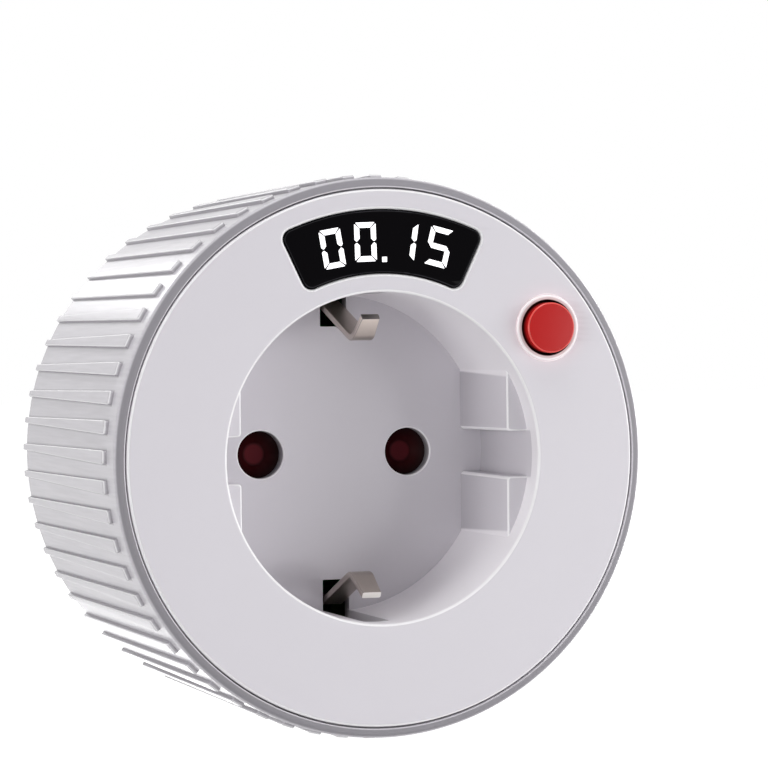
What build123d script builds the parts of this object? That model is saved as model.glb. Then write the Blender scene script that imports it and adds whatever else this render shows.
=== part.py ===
from build123d import *
import os
from math import acos, cos, pi, radians, sin, tan

# Plug-in socket timer: a ribbed setting ring turns round a housing that has an earthed
# socket well and a red button in front, and an earthed plug behind.
# Millimetres. X is right, Z is up, the front faces -Y and the plug pins point +Y.
# The origin is the centre of the plug's end face.
# A "depth" is counted from the front face towards the wall.
# An "azimuth" is in degrees from +X towards +Z, as seen from the front.

# ---------------------------------------------------------------- body and clearances
body_depth = 44.2            # front face to wall seat
plug_length = 17.2           # wall seat to plug face
well_radius = 19.5           # socket well at its mouth, down to the guide blocks
front_width = 13.5           # from the well's edge to the ring's outer edge
front_y = -(body_depth + plug_length)
axial_gap = 0.2              # ring's flange to the parts that trap it
running_gap = 0.3            # between moving and still walls
rim_gap = 0.2                # between the face's edge and the ring's front edge
fit_gap = 0.03               # between still parts that locate each other
shaft_gap = 0.06             # radial clearance of a turning shaft

# ---------------------------------------------------------------- setting ring
ring_setback = 0.1           # ring's front edge behind the face
ring_length = 42.9
ring_rear = ring_setback + ring_length
ring_front_radius = well_radius + front_width
ring_taper = 1.25            # how much smaller the ring's radius is at the rear
ring_rear_radius = ring_front_radius - ring_taper
ring_wall = 1.8
ring_land = 1.2              # width of the ring's front edge
ring_mouth_radius = ring_front_radius - ring_land
plate_thickness = 2.0
face_edge_round = 0.35
face_radius = ring_mouth_radius - rim_gap
rim_bevel_depth = 0.3
rim_round = 0.5
flange_front = plate_thickness + axial_gap
flange_thickness = 4.0
flange_rear = flange_front + flange_thickness

rib_count = 60
rib_azimuth = 4.75           # centre line of the first rib
rib_front = 4.0              # depth at which the ribs begin
rib_width_front = 1.64
rib_width_rear = 0.8
rib_height_front = 0.5
rib_height_rear = 0.4
rib_chamfer = 0.15
rib_root = 0.6               # how far a rib runs into the wall

# ---------------------------------------------------------------- ring gear and pinion
tooth_module = 0.6
pressure_angle = radians(20)
gear_depth = 2.4             # pitch line inside the ring's front radius
ring_teeth = 2 * round((ring_front_radius - gear_depth) / tooth_module)
pinion_teeth = 14
ring_addendum = 0.3
ring_dedendum = 0.7
pinion_addendum = 0.54
pinion_dedendum = 0.55
backlash = 0.08
ring_pitch_radius = tooth_module * ring_teeth / 2
pinion_pitch_radius = tooth_module * pinion_teeth / 2
gear_tip_radius = ring_pitch_radius - ring_addendum
pinion_azimuth = 215.0
pinion_end_gap = 0.2         # pinion's faces inside the ring gear's faces
detent_leaf_inset = 2.1      # leaf spring inside the ring gear's tips
detent_leaf_rise = 0.3
detent_width = 2.4
detent_thickness = 0.25
detent_bend = 0.3

# ---------------------------------------------------------------- socket well (earthed two-pole, 16 A)
pin_spacing = 19.0
pin_radius = 2.4
well_draft = 0.25            # how much smaller the well's radius is at the floor
well_depth = 17.5
well_wall = 1.5
floor_thickness = 1.6
pin_hole_radius = 2.88
guide_front = 3.05           # depth of the guide blocks' front faces
guide_rise_front = 2.75      # how far a block stands in from the well's edge, at its front face
guide_rise_floor = 3.0       # and at the floor
guide_slot_front = 2.72      # half width of the slot between two blocks, at their front faces
guide_slot_floor = 2.6
pocket_half_width = 1.7      # opening in the floor for an earth clip
pocket_length = 3.85         # from the wall's foot inwards
well_outer_radius = well_radius + well_wall
well_floor_radius = well_radius - well_draft
guide_flat_front = well_radius - guide_rise_front
guide_flat_floor = well_radius - guide_rise_floor
pocket_inner = well_floor_radius - pocket_length
floor_rear = well_depth + floor_thickness

# ---------------------------------------------------------------- shutter behind the floor
shutter_gap = 0.2
shutter_thickness = 2.0
shutter_cover = 0.42         # how far the shutter reaches past a pin hole's edge
shutter_hub_radius = 4.2
shutter_dimple_radius = 1.4
shutter_dimple_depth = 0.9
pivot_radius = 1.5
skirt_wall = 1.2
shutter_front = floor_rear + shutter_gap
shutter_rear = shutter_front + shutter_thickness
shutter_end_radius = pin_hole_radius + shutter_cover
skirt_inner_radius = pin_spacing / 2 + shutter_end_radius + running_gap + 0.2
skirt_outer_radius = skirt_inner_radius + skirt_wall
carrier_front = shutter_rear + shutter_gap
spring_wire = 0.35
spring_turns = 2.5
spring_room = 1.4            # depth of the spring's recess in the contact carrier

# ---------------------------------------------------------------- contacts
carrier_plate = 1.5
carrier_depth = 11.5
carrier_half_width = 14.2
carrier_half_height = 6.2
carrier_corner = 2.0
contact_wall = 0.6
contact_bore = 2.36          # sprung sleeve, a little under the pin's radius
contact_slit = 1.0
contact_tail = 3.0
carrier_screw_radius = 0.9
carrier_screw_place = 11.2   # distance of each carrier screw from the axis
carrier_screw_head = (1.7, 1.1)
carrier_rear = carrier_front + carrier_depth

earth_thickness = 0.8
earth_width = 2.7
earth_leg_gap = 1.1          # from the wall's foot to the middle of a clip's leg
earth_bend = 1.0
earth_tip_inset = 2.9        # a clip's free end, in from the well's edge
earth_tip_depth = 4.6
earth_knee_inset = 5.5       # and the bend that presses on the plug
earth_knee_depth = 8.5
earth_leg = well_floor_radius - earth_leg_gap
earth_tip = (well_radius - earth_tip_inset, earth_tip_depth)
earth_knee = (well_radius - earth_knee_inset, earth_knee_depth)
earth_pad_radius = 3.4
earth_pad_hole = 1.55

# ---------------------------------------------------------------- display
display_azimuth = 90.0
lens_inner_margin = 2.2      # from the well's edge to the lens
lens_outer_margin = 2.4      # from the lens to the face's edge
lens_inner_radius = well_radius + lens_inner_margin
lens_outer_radius = face_radius - lens_outer_margin
lens_half_angle = 25.9
lens_corner = 1.2
lens_thickness = 1.4
lens_bevel = 0.25
lens_ledge = 1.0             # width of the step that carries the lens
module_thickness = 4.9
module_margin = 0.3
module_pin_radius = 0.25
module_pin_azimuths = (72.0, 80.0, 100.0, 108.0)
module_pin_inset = 0.9       # from the module's rim to its solder pins

# ---------------------------------------------------------------- button and light collar
button_inset = 6.16          # from the well's edge to the button's axis
button_radius_place = well_radius + button_inset
button_azimuth = 36.0
cap_radius = 3.0
cap_proud = 1.35
cap_round = 0.3
cap_wall = 0.8
cap_skirt_end = 5.4
cap_flange_thickness = 0.5
cap_flange_radius = 3.7
cap_stem_radius = 1.2
button_travel = 0.5
collar_radius = 3.93
collar_wall = 0.63
collar_proud = 0.25
collar_flange_radius = 4.2
collar_flange_thickness = 0.6
collar_bevel = 0.15

# ---------------------------------------------------------------- control board
board_front = 10.0
board_thickness = 1.2
board_well_gap = 0.5
board_inner_radius = well_outer_radius + board_well_gap
board_wall_gap = 0.4
switch_size = 6.0
switch_height = 3.4
plunger_radius = 1.4
plunger_sunk = 2.2
encoder_radius = 2.5
encoder_height = 3.0
shaft_radius = 0.9
led_size = (1.6, 0.8, 0.6)
led_place = 2.75             # distance of each light source from the button's axis
radio_azimuth = 125.0
radio_size = (5.8, 13.0, 2.4)
radio_inset = 3.1            # from the board's inner edge to the module's middle
link_width = 7.6
link_thickness = 1.3
link_inset = 2.7             # and to the flat link
connector_size = (10.0, 2.6, 3.0)
board_screw_azimuths = (150.0, 245.0, 330.0)
board_screw_inset = 3.7      # and to the screws
board_screw_depth = 3.0
board_screw_radius = 0.8
board_screw_head = (1.5, 0.9)
radio_radius = board_inner_radius + radio_inset
link_radius = board_inner_radius + link_inset
board_screw_place = board_inner_radius + board_screw_inset

# ---------------------------------------------------------------- rear housing
tube_wall = 1.7
rear_wall = 1.8
seat_inset = 0.55            # rear wall's edge inside the ring's rear edge
seat_radius = ring_rear_radius - seat_inset
power_front = 38.5
power_thickness = 1.6
power_ledge = 1.4
case_screw_azimuths = (0.0, 180.0, 270.0)
case_screw_inset = 2.95      # from the tube's wall to the screws' axes
case_screw_radius = 1.25
case_head_radius = 2.3
case_head_height = 1.6
case_screw_length = 16.0
case_head_sunk = 3.0
case_boss_radius = 3.2
post_radius = 2.5
post_end = 36.0
component_inset = 6.6        # from the power board's edge to its components' axes
relay_size = (10.1, 17.6, 12.3)
film_size = (7.0, 13.0, 12.0)
can_radius = 4.0
can_height = 12.0
can_round = 0.6
varistor_size = (3.4, 7.5, 8.5)
fuse_radius = 1.8
fuse_height = 9.0
choke_radius = 4.6
choke_core_radius = 3.9
choke_height = 10.0
choke_flange = 1.2

# ---------------------------------------------------------------- plug
plug_well_gap = 1.1          # a plug's edge inside a well of this size
boss_radius = well_radius - plug_well_gap
boss_wall = 3.2
boss_end_wall = 3.0
boss_chamfer = 0.8
guide_groove_depth = 2.3
guide_groove_flat = boss_radius - guide_groove_depth
guide_rib_half_width = 2.4
guide_groove_start = 1.6     # from the wall seat
pin_length = 19.0
pin_nose = 1.6
pin_root_radius = 2.75       # shoulder that fills the plug's end wall
pin_head_radius = 3.3
pin_head_height = 1.2
pin_tail_radius = 1.3
retainer_thickness = 3.0
retainer_gap = 0.3
retainer_radius = boss_radius - boss_wall - retainer_gap
retainer_screw_place = 10.5
retainer_screw_radius = 0.9
retainer_screw_head = (1.7, 1.1)
retainer_screw_bite = 2.0    # how far a screw runs into the plug's end wall
plug_earth_width = 4.0
plug_earth_thickness = 0.8
plug_earth_inset = 1.5       # outer face of the side contact, in from the plug's edge
plug_earth_face = boss_radius - plug_earth_inset
plug_earth_end = 15.4        # from the wall seat to the contact's end
plug_earth_tuck = 0.9        # how far the contact's end is bent inwards
earth_groove_half_width = 2.7
earth_post_radius = 2.0
earth_screw_radius = 1.4
earth_screw_engagement = 4.0
earth_bar_front = power_front + power_thickness + 0.7


# ---------------------------------------------------------------- helpers
def polar(radius, azimuth):
    """Front-view place of a point given by its radius and azimuth."""
    return (radius * cos(radians(azimuth)), radius * sin(radians(azimuth)))


def depth_plane(depth, at=(0, 0)):
    """Plane parallel to the front face, with its normal towards the user."""
    return Plane(origin=(at[0], front_y + depth, at[1]), x_dir=(1, 0, 0), z_dir=(0, -1, 0))


def slab(outline, near, far, at=(0, 0)):
    """Front-view outline carried from depth near to depth far."""
    return extrude(depth_plane(far, at) * outline, amount=far - near)


def rod(radius, near, far, at=(0, 0)):
    """Round bar along the depth."""
    return slab(Circle(radius), near, far, at)


def turned(points, at=(0, 0)):
    """Solid of revolution from an outline of (radius, depth) points."""
    outline = Polygon(*[(radius, front_y + depth) for radius, depth in points], align=None)
    return Pos(at[0], 0, at[1]) * revolve(outline, Axis.Y, 360)


def spun(shape, azimuth):
    """Shape turned about the socket's axis by an azimuth."""
    return Rot(0, -azimuth, 0) * shape


def sector(inner, outer, half_angle, corner):
    """Rounded sector of an annulus, centred on the display's azimuth."""
    start = display_azimuth - half_angle
    inner_arc = CenterArc((0, 0), inner, start, 2 * half_angle)
    outer_arc = CenterArc((0, 0), outer, start, 2 * half_angle)
    ends = [Line(inner_arc @ 0, outer_arc @ 0), Line(inner_arc @ 1, outer_arc @ 1)]
    outline = make_face([inner_arc, outer_arc, *ends])
    return fillet(outline.vertices(), corner)


def strip(points, width, thickness, bend, across=(1, 0, 0)):
    """Bent sheet strip: a flat section swept along a path with rounded bends."""
    path = FilletPolyline(*points, radius=bend)
    section = Plane(origin=path @ 0, x_dir=across, z_dir=path % 0) * Rectangle(width, thickness)
    return sweep(section, path)


def half_tooth(teeth, radius, widening):
    """Half the angle of an involute tooth at a radius."""
    pitch_radius = tooth_module * teeth / 2
    base_radius = pitch_radius * cos(pressure_angle)
    roll = acos(min(1.0, base_radius / radius))
    at_pitch = pi / (2 * teeth) + widening / pitch_radius
    return at_pitch + (tan(pressure_angle) - pressure_angle) - (tan(roll) - roll)


def gear_outline(teeth, radii, widening, azimuth):
    """Toothed outline with one tooth centred on an azimuth; radii run from root to tip."""
    points = []
    for tooth in range(teeth):
        centre = radians(azimuth) + 2 * pi * tooth / teeth
        flank = [(radius, half_tooth(teeth, radius, widening)) for radius in radii]
        points += [(r * cos(centre - half), r * sin(centre - half)) for r, half in flank]
        points += [(r * cos(centre + half), r * sin(centre + half)) for r, half in reversed(flank)]
    return Polygon(*points, align=None)


def ring_outer(depth):
    """Outer radius of the ring's tapered wall, between its ribs."""
    share = (depth - ring_setback) / ring_length
    return ring_front_radius + (ring_rear_radius - ring_front_radius) * share


def ring_inner(depth):
    """Bore of the ring behind its flange."""
    return ring_outer(depth) - ring_wall


def tube_outer(depth):
    """Outer radius of the housing's tube, which the ring turns on."""
    return ring_inner(depth) - running_gap


def tube_inner(depth):
    """Inner radius of the housing's tube."""
    return tube_outer(depth) - tube_wall


board_rear = board_front + board_thickness
power_rear = power_front + power_thickness
power_radius = tube_inner(power_rear) - board_wall_gap
component_place = power_radius - component_inset
case_screw_place = tube_inner(post_end) - case_screw_inset
button_place = polar(button_radius_place, button_azimuth)
pinion_place = polar(ring_pitch_radius - pinion_pitch_radius, pinion_azimuth)
pin_places = [(-pin_spacing / 2, 0), (pin_spacing / 2, 0)]
case_screw_places = [polar(case_screw_place, azimuth) for azimuth in case_screw_azimuths]
board_screw_places = [polar(board_screw_place, azimuth) for azimuth in board_screw_azimuths]
carrier_screw_places = [(0, -carrier_screw_place), (0, carrier_screw_place)]
retainer_screw_places = [(0, -retainer_screw_place), (0, retainer_screw_place)]


# ---------------------------------------------------------------- setting ring
def ring_rib():
    """One tapering grip rib with chamfered edges, at azimuth 0."""
    def section(depth, width, height):
        base = ring_outer(depth)
        half = width / 2
        corners = [
            (base - rib_root, -half),
            (base + height - rib_chamfer, -half),
            (base + height, rib_chamfer - half),
            (base + height, half - rib_chamfer),
            (base + height - rib_chamfer, half),
            (base - rib_root, half),
        ]
        return depth_plane(depth) * Polygon(*corners, align=None)

    front = section(rib_front, rib_width_front, rib_height_front)
    rear = section(ring_rear, rib_width_rear, rib_height_rear)
    return loft([front, rear])


def make_setting_ring():
    sleeve = turned([
        (ring_mouth_radius, ring_setback),
        (ring_front_radius - rim_round, ring_setback + rim_bevel_depth),
        (ring_outer(ring_setback + rim_bevel_depth + rim_round), ring_setback + rim_bevel_depth + rim_round),
        (ring_rear_radius, ring_rear),
        (ring_inner(ring_rear), ring_rear),
        (ring_inner(flange_rear), flange_rear),
        (gear_tip_radius - ring_addendum, flange_rear),
        (gear_tip_radius - ring_addendum, flange_front),
        (ring_mouth_radius, flange_front),
    ])
    spaces = gear_outline(
        ring_teeth,
        [gear_tip_radius, ring_pitch_radius + ring_dedendum],
        backlash / 4,
        pinion_azimuth,
    )
    sleeve -= slab(spaces, flange_front, flange_rear)
    rib = ring_rib()
    ribs = [spun(rib, rib_azimuth + 360 * index / rib_count) for index in range(rib_count)]
    return sleeve.fuse(*ribs)


def make_encoder_pinion():
    pinion_radii = [
        pinion_pitch_radius - pinion_dedendum,
        pinion_pitch_radius * cos(pressure_angle),
        pinion_pitch_radius,
        pinion_pitch_radius + pinion_addendum,
    ]
    teeth = gear_outline(pinion_teeth, pinion_radii, -backlash / 4, pinion_azimuth)
    near = flange_front + pinion_end_gap
    far = flange_rear - pinion_end_gap
    return slab(teeth - Circle(shaft_radius), near, far, pinion_place)


def make_encoder_shaft():
    near = flange_front + pinion_end_gap
    return rod(shaft_radius, near, board_front - encoder_height / 2, pinion_place)


def make_encoder_body():
    body = rod(encoder_radius, board_front - encoder_height, board_front, pinion_place)
    hole_end = board_front - encoder_height / 2 + running_gap
    return body - rod(shaft_radius + shaft_gap, board_front - encoder_height, hole_end, pinion_place)


# ---------------------------------------------------------------- front face
def make_face_plate():
    plate = rod(face_radius, 0, plate_thickness) - rod(well_radius, 0, plate_thickness)
    plate = fillet(plate.edges().group_by(Axis.Y)[0], face_edge_round)
    recess = sector(
        lens_inner_radius - fit_gap, lens_outer_radius + fit_gap, lens_half_angle, lens_corner
    )
    plate -= slab(recess, 0, lens_thickness)
    window = sector(
        lens_inner_radius + lens_ledge,
        lens_outer_radius - lens_ledge,
        lens_half_angle - 2 * lens_ledge,
        lens_corner,
    )
    plate -= slab(window, 0, plate_thickness)
    plate -= rod(collar_radius + fit_gap, 0, plate_thickness, button_place)
    for place in case_screw_places:
        plate += rod(post_radius, plate_thickness, post_end, place)
        plate -= rod(case_screw_radius, post_end - case_screw_length / 2, post_end, place)
    for place in board_screw_places:
        plate += rod(2 * board_screw_radius, plate_thickness, board_front, place)
        plate -= rod(board_screw_radius, board_front - board_screw_depth, board_front, place)
    return plate


def make_display_lens():
    outline = sector(lens_inner_radius, lens_outer_radius, lens_half_angle, lens_corner)
    lens = slab(outline, 0, lens_thickness)
    return chamfer(lens.faces().sort_by(Axis.Y)[0].edges(), lens_bevel)


def make_display_module():
    inner = lens_inner_radius + lens_ledge - module_margin
    outer = lens_outer_radius - lens_ledge - module_margin
    half_angle = lens_half_angle - 2 * lens_ledge - module_margin
    rear = plate_thickness + module_thickness
    body = slab(sector(inner, outer, half_angle, lens_corner), plate_thickness, rear)
    for azimuth in module_pin_azimuths:
        for radius in (inner + module_pin_inset, outer - module_pin_inset):
            body += rod(module_pin_radius, rear, board_front, polar(radius, azimuth))
    return body


# ---------------------------------------------------------------- button
def make_button_light_ring():
    bore = collar_radius - collar_wall
    flange_end = plate_thickness + collar_flange_thickness
    end = cap_skirt_end - cap_flange_thickness - running_gap
    return turned([
        (bore, -collar_proud),
        (collar_radius - collar_bevel, -collar_proud),
        (collar_radius, collar_bevel - collar_proud),
        (collar_radius, plate_thickness),
        (collar_flange_radius, plate_thickness),
        (collar_flange_radius, flange_end),
        (collar_radius, flange_end),
        (collar_radius, end),
        (bore, end),
    ], button_place)


def make_button_cap():
    flange_front_depth = cap_skirt_end - cap_flange_thickness
    shell_bore = cap_radius - cap_wall
    cap = turned([
        (0, -cap_proud),
        (cap_radius, -cap_proud),
        (cap_radius, flange_front_depth),
        (cap_flange_radius, flange_front_depth),
        (cap_flange_radius, cap_skirt_end),
        (shell_bore, cap_skirt_end),
        (shell_bore, cap_wall),
        (cap_stem_radius, cap_wall),
        (cap_stem_radius, cap_skirt_end),
        (0, cap_skirt_end),
    ], button_place)
    return fillet(cap.edges().group_by(Axis.Y)[0], cap_round)


def make_switch_plunger():
    return rod(plunger_radius, cap_skirt_end, cap_skirt_end + plunger_sunk, button_place)


def make_switch_body():
    near = board_front - switch_height
    outline = Rot(0, 0, button_azimuth) * Rectangle(switch_size, switch_size)
    body = slab(outline, near, board_front, button_place)
    hole_end = cap_skirt_end + plunger_sunk + button_travel + running_gap
    return body - rod(plunger_radius + shaft_gap, near, hole_end, button_place)


def make_halo_lights():
    length, width, height = led_size
    lights = []
    for turn in (0, 180):
        x, z = polar(led_place + width / 2 + 1, button_azimuth + 90 + turn)
        place = (button_place[0] + x, button_place[1] + z)
        outline = Rot(0, 0, button_azimuth) * Rectangle(length, width)
        lights.append(slab(outline, board_front - height, board_front, place))
    return Compound(lights)


# ---------------------------------------------------------------- socket well
def guide_block():
    """Upper right guide block, with draft on its flat and on its slot side."""
    def section(depth, flat, slot):
        width = well_radius + well_wall / 2 - flat
        outline = Pos(flat, slot) * Rectangle(width, well_radius, align=(Align.MIN, Align.MIN))
        return depth_plane(depth) * outline

    wedge = loft([
        section(guide_front, guide_flat_front, guide_slot_front),
        section(floor_rear, guide_flat_floor, guide_slot_floor),
    ])
    return wedge & rod(well_radius + well_wall / 2, guide_front, floor_rear)


def make_socket_well():
    well = turned([
        (well_radius, plate_thickness),
        (well_outer_radius, plate_thickness),
        (well_outer_radius, floor_rear),
        (skirt_outer_radius, floor_rear),
        (skirt_outer_radius, carrier_front),
        (skirt_inner_radius, carrier_front),
        (skirt_inner_radius, floor_rear),
        (0, floor_rear),
        (0, well_depth),
        (well_floor_radius, well_depth),
        (well_radius, guide_front),
    ])
    block = guide_block()
    well += [block, mirror(block, Plane.YZ)]
    well += [mirror(block, Plane.XY), mirror(mirror(block, Plane.XY), Plane.YZ)]
    pocket = Pos(0, (pocket_inner + well_floor_radius) / 2) * Rectangle(
        2 * pocket_half_width, well_floor_radius - pocket_inner
    )
    for outline in (pocket, mirror(pocket, Plane.XZ)):
        well -= slab(outline, well_depth, floor_rear)
    for place in pin_places:
        well -= rod(pin_hole_radius, well_depth, floor_rear, place)
    well += rod(pivot_radius, floor_rear, carrier_front + spring_room - shutter_gap)
    for place in carrier_screw_places:
        well += rod(2 * carrier_screw_radius, floor_rear, carrier_front, place)
        well -= rod(carrier_screw_radius, floor_rear, carrier_front, place)
    return well


def make_shutter():
    wings = SlotOverall(pin_spacing + 2 * shutter_end_radius, 2 * shutter_end_radius)
    shutter = slab(wings + Circle(shutter_hub_radius), shutter_front, shutter_rear)
    shutter -= rod(pivot_radius + shaft_gap, shutter_front, shutter_rear)
    for place in pin_places:
        shutter -= turned([
            (0, shutter_front),
            (pin_hole_radius, shutter_front),
            (shutter_dimple_radius, shutter_front + shutter_dimple_depth),
            (0, shutter_front + shutter_dimple_depth),
        ], place)
    return shutter


def make_shutter_spring():
    coil_radius = pivot_radius + shaft_gap + spring_wire
    pitch = 1.15 * spring_wire
    start_y = front_y + carrier_front + spring_wire / 2
    coil_path = Helix(pitch, pitch * spring_turns, coil_radius, center=(0, start_y, 0), direction=(0, 1, 0))
    section = Plane(origin=coil_path @ 0, z_dir=coil_path % 0) * Rectangle(spring_wire, spring_wire)
    return sweep(section, coil_path, is_frenet=True)


# ---------------------------------------------------------------- contacts
def make_contact_carrier():
    carrier = rod(skirt_outer_radius, carrier_front, carrier_front + carrier_plate)
    block = RectangleRounded(2 * carrier_half_width, 2 * carrier_half_height, carrier_corner)
    carrier += slab(block, carrier_front + carrier_plate, carrier_rear)
    carrier -= rod(pivot_radius + 2 * shaft_gap + 2 * spring_wire, carrier_front, carrier_front + spring_room)
    sleeve_radius = contact_bore + contact_wall + fit_gap
    tail_slot = Rectangle(contact_wall + 2 * fit_gap, contact_tail + 2 * fit_gap)
    for place in pin_places:
        carrier -= rod(pin_hole_radius, carrier_front, carrier_front + carrier_plate, place)
        carrier -= rod(sleeve_radius, carrier_front + carrier_plate, carrier_rear, place)
        carrier -= slab(tail_slot, carrier_rear - contact_tail - fit_gap, carrier_rear, tail_place(place))
    for place in carrier_screw_places:
        carrier -= rod(carrier_screw_radius, carrier_front, carrier_front + carrier_plate, place)
    return carrier


def tail_place(place):
    """Centre of a contact's solder tail, on the outer side of its sleeve."""
    side = 1 if place[0] > 0 else -1
    return (place[0] + side * (contact_bore + contact_wall / 2), 0)


def make_socket_contact(place):
    """Slit brass sleeve that grips a pin, with a solder tail into the power board."""
    near = carrier_front + carrier_plate
    outer = contact_bore + contact_wall
    sleeve = rod(outer, near, carrier_rear, place) - rod(contact_bore, near, carrier_rear, place)
    sleeve -= slab(Rectangle(contact_slit, 2 * outer + 1), near, carrier_rear - contact_tail, place)
    tail_section = Rectangle(contact_wall, contact_tail)
    tail = slab(tail_section, carrier_rear - contact_tail, power_rear, tail_place(place))
    return sleeve + tail


def make_earth_bracket():
    """One U-shaped strip whose two ends are the well's earth clips."""
    bar_depth = carrier_rear + fit_gap + earth_thickness / 2
    half_path = [earth_tip, earth_knee, (earth_leg, floor_rear), (earth_leg, bar_depth)]
    upper = [(0, front_y + depth, z) for z, depth in half_path]
    lower = [(0, front_y + depth, -z) for z, depth in reversed(half_path)]
    bracket = strip([*upper, *lower], earth_width, earth_thickness, earth_bend)
    bar_front = bar_depth - earth_thickness / 2
    bracket += rod(earth_pad_radius, bar_front, bar_front + earth_thickness)
    return bracket - rod(earth_pad_hole, bar_front, bar_front + earth_thickness)


def make_earth_post():
    near = carrier_rear + fit_gap + earth_thickness
    post = rod(earth_post_radius, near, earth_bar_front)
    post += rod(earth_pad_hole, carrier_rear + fit_gap, near)
    return post - rod(earth_screw_radius, earth_bar_front - earth_screw_engagement, earth_bar_front)


def make_earth_screw():
    head_front = earth_bar_front + plug_earth_thickness
    screw = rod(earth_screw_radius, earth_bar_front - earth_screw_engagement, head_front)
    screw += rod(2 * earth_screw_radius - 0.3, head_front, head_front + 0.8)
    return screw


# ---------------------------------------------------------------- boards and components
def board_outline(outer, inner, post):
    """Round board with a central hole, cut clear of the posts that pass it."""
    outline = Circle(outer) - Circle(inner)
    for place in case_screw_places:
        outline -= Pos(*place) * Circle(post + running_gap)
    return outline


def make_control_board():
    outer = tube_inner(board_rear) - board_wall_gap
    outline = board_outline(outer, board_inner_radius, post_radius)
    for place in board_screw_places:
        outline -= Pos(*place) * Circle(board_screw_radius)
    return slab(outline, board_front, board_rear)


def make_power_board():
    outline = board_outline(power_radius, earth_post_radius + fit_gap, case_boss_radius)
    for place in pin_places:
        outline -= Pos(*place) * Circle(pin_tail_radius)
        outline -= Pos(*tail_place(place)) * Rectangle(contact_wall, contact_tail)
    strip_opening = Rectangle(plug_earth_width + 1, 2 * plug_earth_thickness + 1)
    for side in (-1, 1):
        outline -= Pos(0, side * plug_earth_face) * strip_opening
    return slab(outline, power_front, power_rear)


def standing_box(azimuth, size):
    """Box-shaped component standing on the power board: radial, across and height."""
    radial, across, height = size
    outline = Rot(0, 0, azimuth) * Pos(component_place, 0) * Rectangle(radial, across)
    return slab(outline, power_front - height, power_front)


def make_relay():
    return standing_box(135, relay_size)


def make_mains_capacitor():
    return standing_box(225, film_size)


def make_smoothing_capacitor():
    can = rod(can_radius, power_front - can_height, power_front, polar(component_place, 52))
    return fillet(can.edges().group_by(Axis.Y)[0], can_round)


def make_varistor():
    return standing_box(25, varistor_size)


def make_fuse():
    return rod(fuse_radius, power_front - fuse_height, power_front, polar(component_place, 285))


def make_filter_choke():
    near = power_front - choke_height
    return turned([
        (0, near),
        (choke_radius, near),
        (choke_radius, near + choke_flange),
        (choke_core_radius, near + choke_flange),
        (choke_core_radius, power_front - choke_flange),
        (choke_radius, power_front - choke_flange),
        (choke_radius, power_front),
        (0, power_front),
    ], polar(component_place, 315))


def make_radio_module():
    radial, across, height = radio_size
    outline = Rot(0, 0, radio_azimuth) * Pos(radio_radius, 0) * Rectangle(radial, across)
    return slab(outline, board_rear, board_rear + height)


def make_board_connectors():
    width, thickness, height = connector_size
    outline = Pos(0, link_radius) * (Rectangle(width, thickness) - Rectangle(link_width, link_thickness))
    front = slab(outline, board_rear, board_rear + height)
    rear = slab(outline, power_front - height, power_front)
    return Compound([front, rear])


def make_board_link():
    outline = Pos(0, link_radius) * Rectangle(link_width, link_thickness)
    return slab(outline, board_rear, power_front)


# ---------------------------------------------------------------- rear housing and plug
def make_rear_housing():
    tube_front = flange_rear + axial_gap
    seat_front = ring_rear + running_gap
    wall_front = body_depth - rear_wall
    bore = boss_radius - boss_wall
    plug_end = body_depth + plug_length
    housing = turned([
        (tube_inner(tube_front), tube_front),
        (tube_outer(tube_front), tube_front),
        (tube_outer(seat_front), seat_front),
        (seat_radius, seat_front),
        (seat_radius, body_depth),
        (boss_radius, body_depth),
        (boss_radius, plug_end - boss_chamfer),
        (boss_radius - boss_chamfer, plug_end),
        (0, plug_end),
        (0, plug_end - boss_end_wall),
        (bore, plug_end - boss_end_wall),
        (bore, wall_front),
        (tube_inner(power_rear) - power_ledge, wall_front),
        (tube_inner(power_rear) - power_ledge, power_rear),
        (tube_inner(power_rear), power_rear),
    ])
    housing -= plug_side_grooves()
    housing -= plug_earth_grooves()
    for place in case_screw_places:
        housing += rod(case_boss_radius, post_end, wall_front, place) & tube_core()
        housing -= rod(case_screw_radius + fit_gap, post_end, body_depth, place)
        housing -= rod(case_head_radius + 0.1, body_depth - case_head_sunk, body_depth, place)
    for place in pin_places:
        housing -= rod(pin_root_radius + fit_gap, plug_end - boss_end_wall, plug_end, place)
    for place in retainer_screw_places:
        housing -= rod(retainer_screw_radius, plug_end - boss_end_wall, plug_end - 0.8, place)
    return housing


def tube_core():
    """Space inside the housing, which the screw bosses are trimmed to."""
    return rod(tube_inner(post_end) + tube_wall / 2, post_end, body_depth)


def plug_side_grooves():
    """Side flats of the plug, with a guide rib left standing in the middle of each."""
    start = body_depth + guide_groove_start
    end = body_depth + plug_length
    strip_width = boss_radius - guide_groove_flat + 1
    groove = Pos(guide_groove_flat, guide_rib_half_width) * Rectangle(
        strip_width, boss_radius, align=(Align.MIN, Align.MIN)
    )
    upper = slab(groove, start, end)
    right = [upper, mirror(upper, Plane.XY)]
    return [*right, *[mirror(cut, Plane.YZ) for cut in right]]


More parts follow.
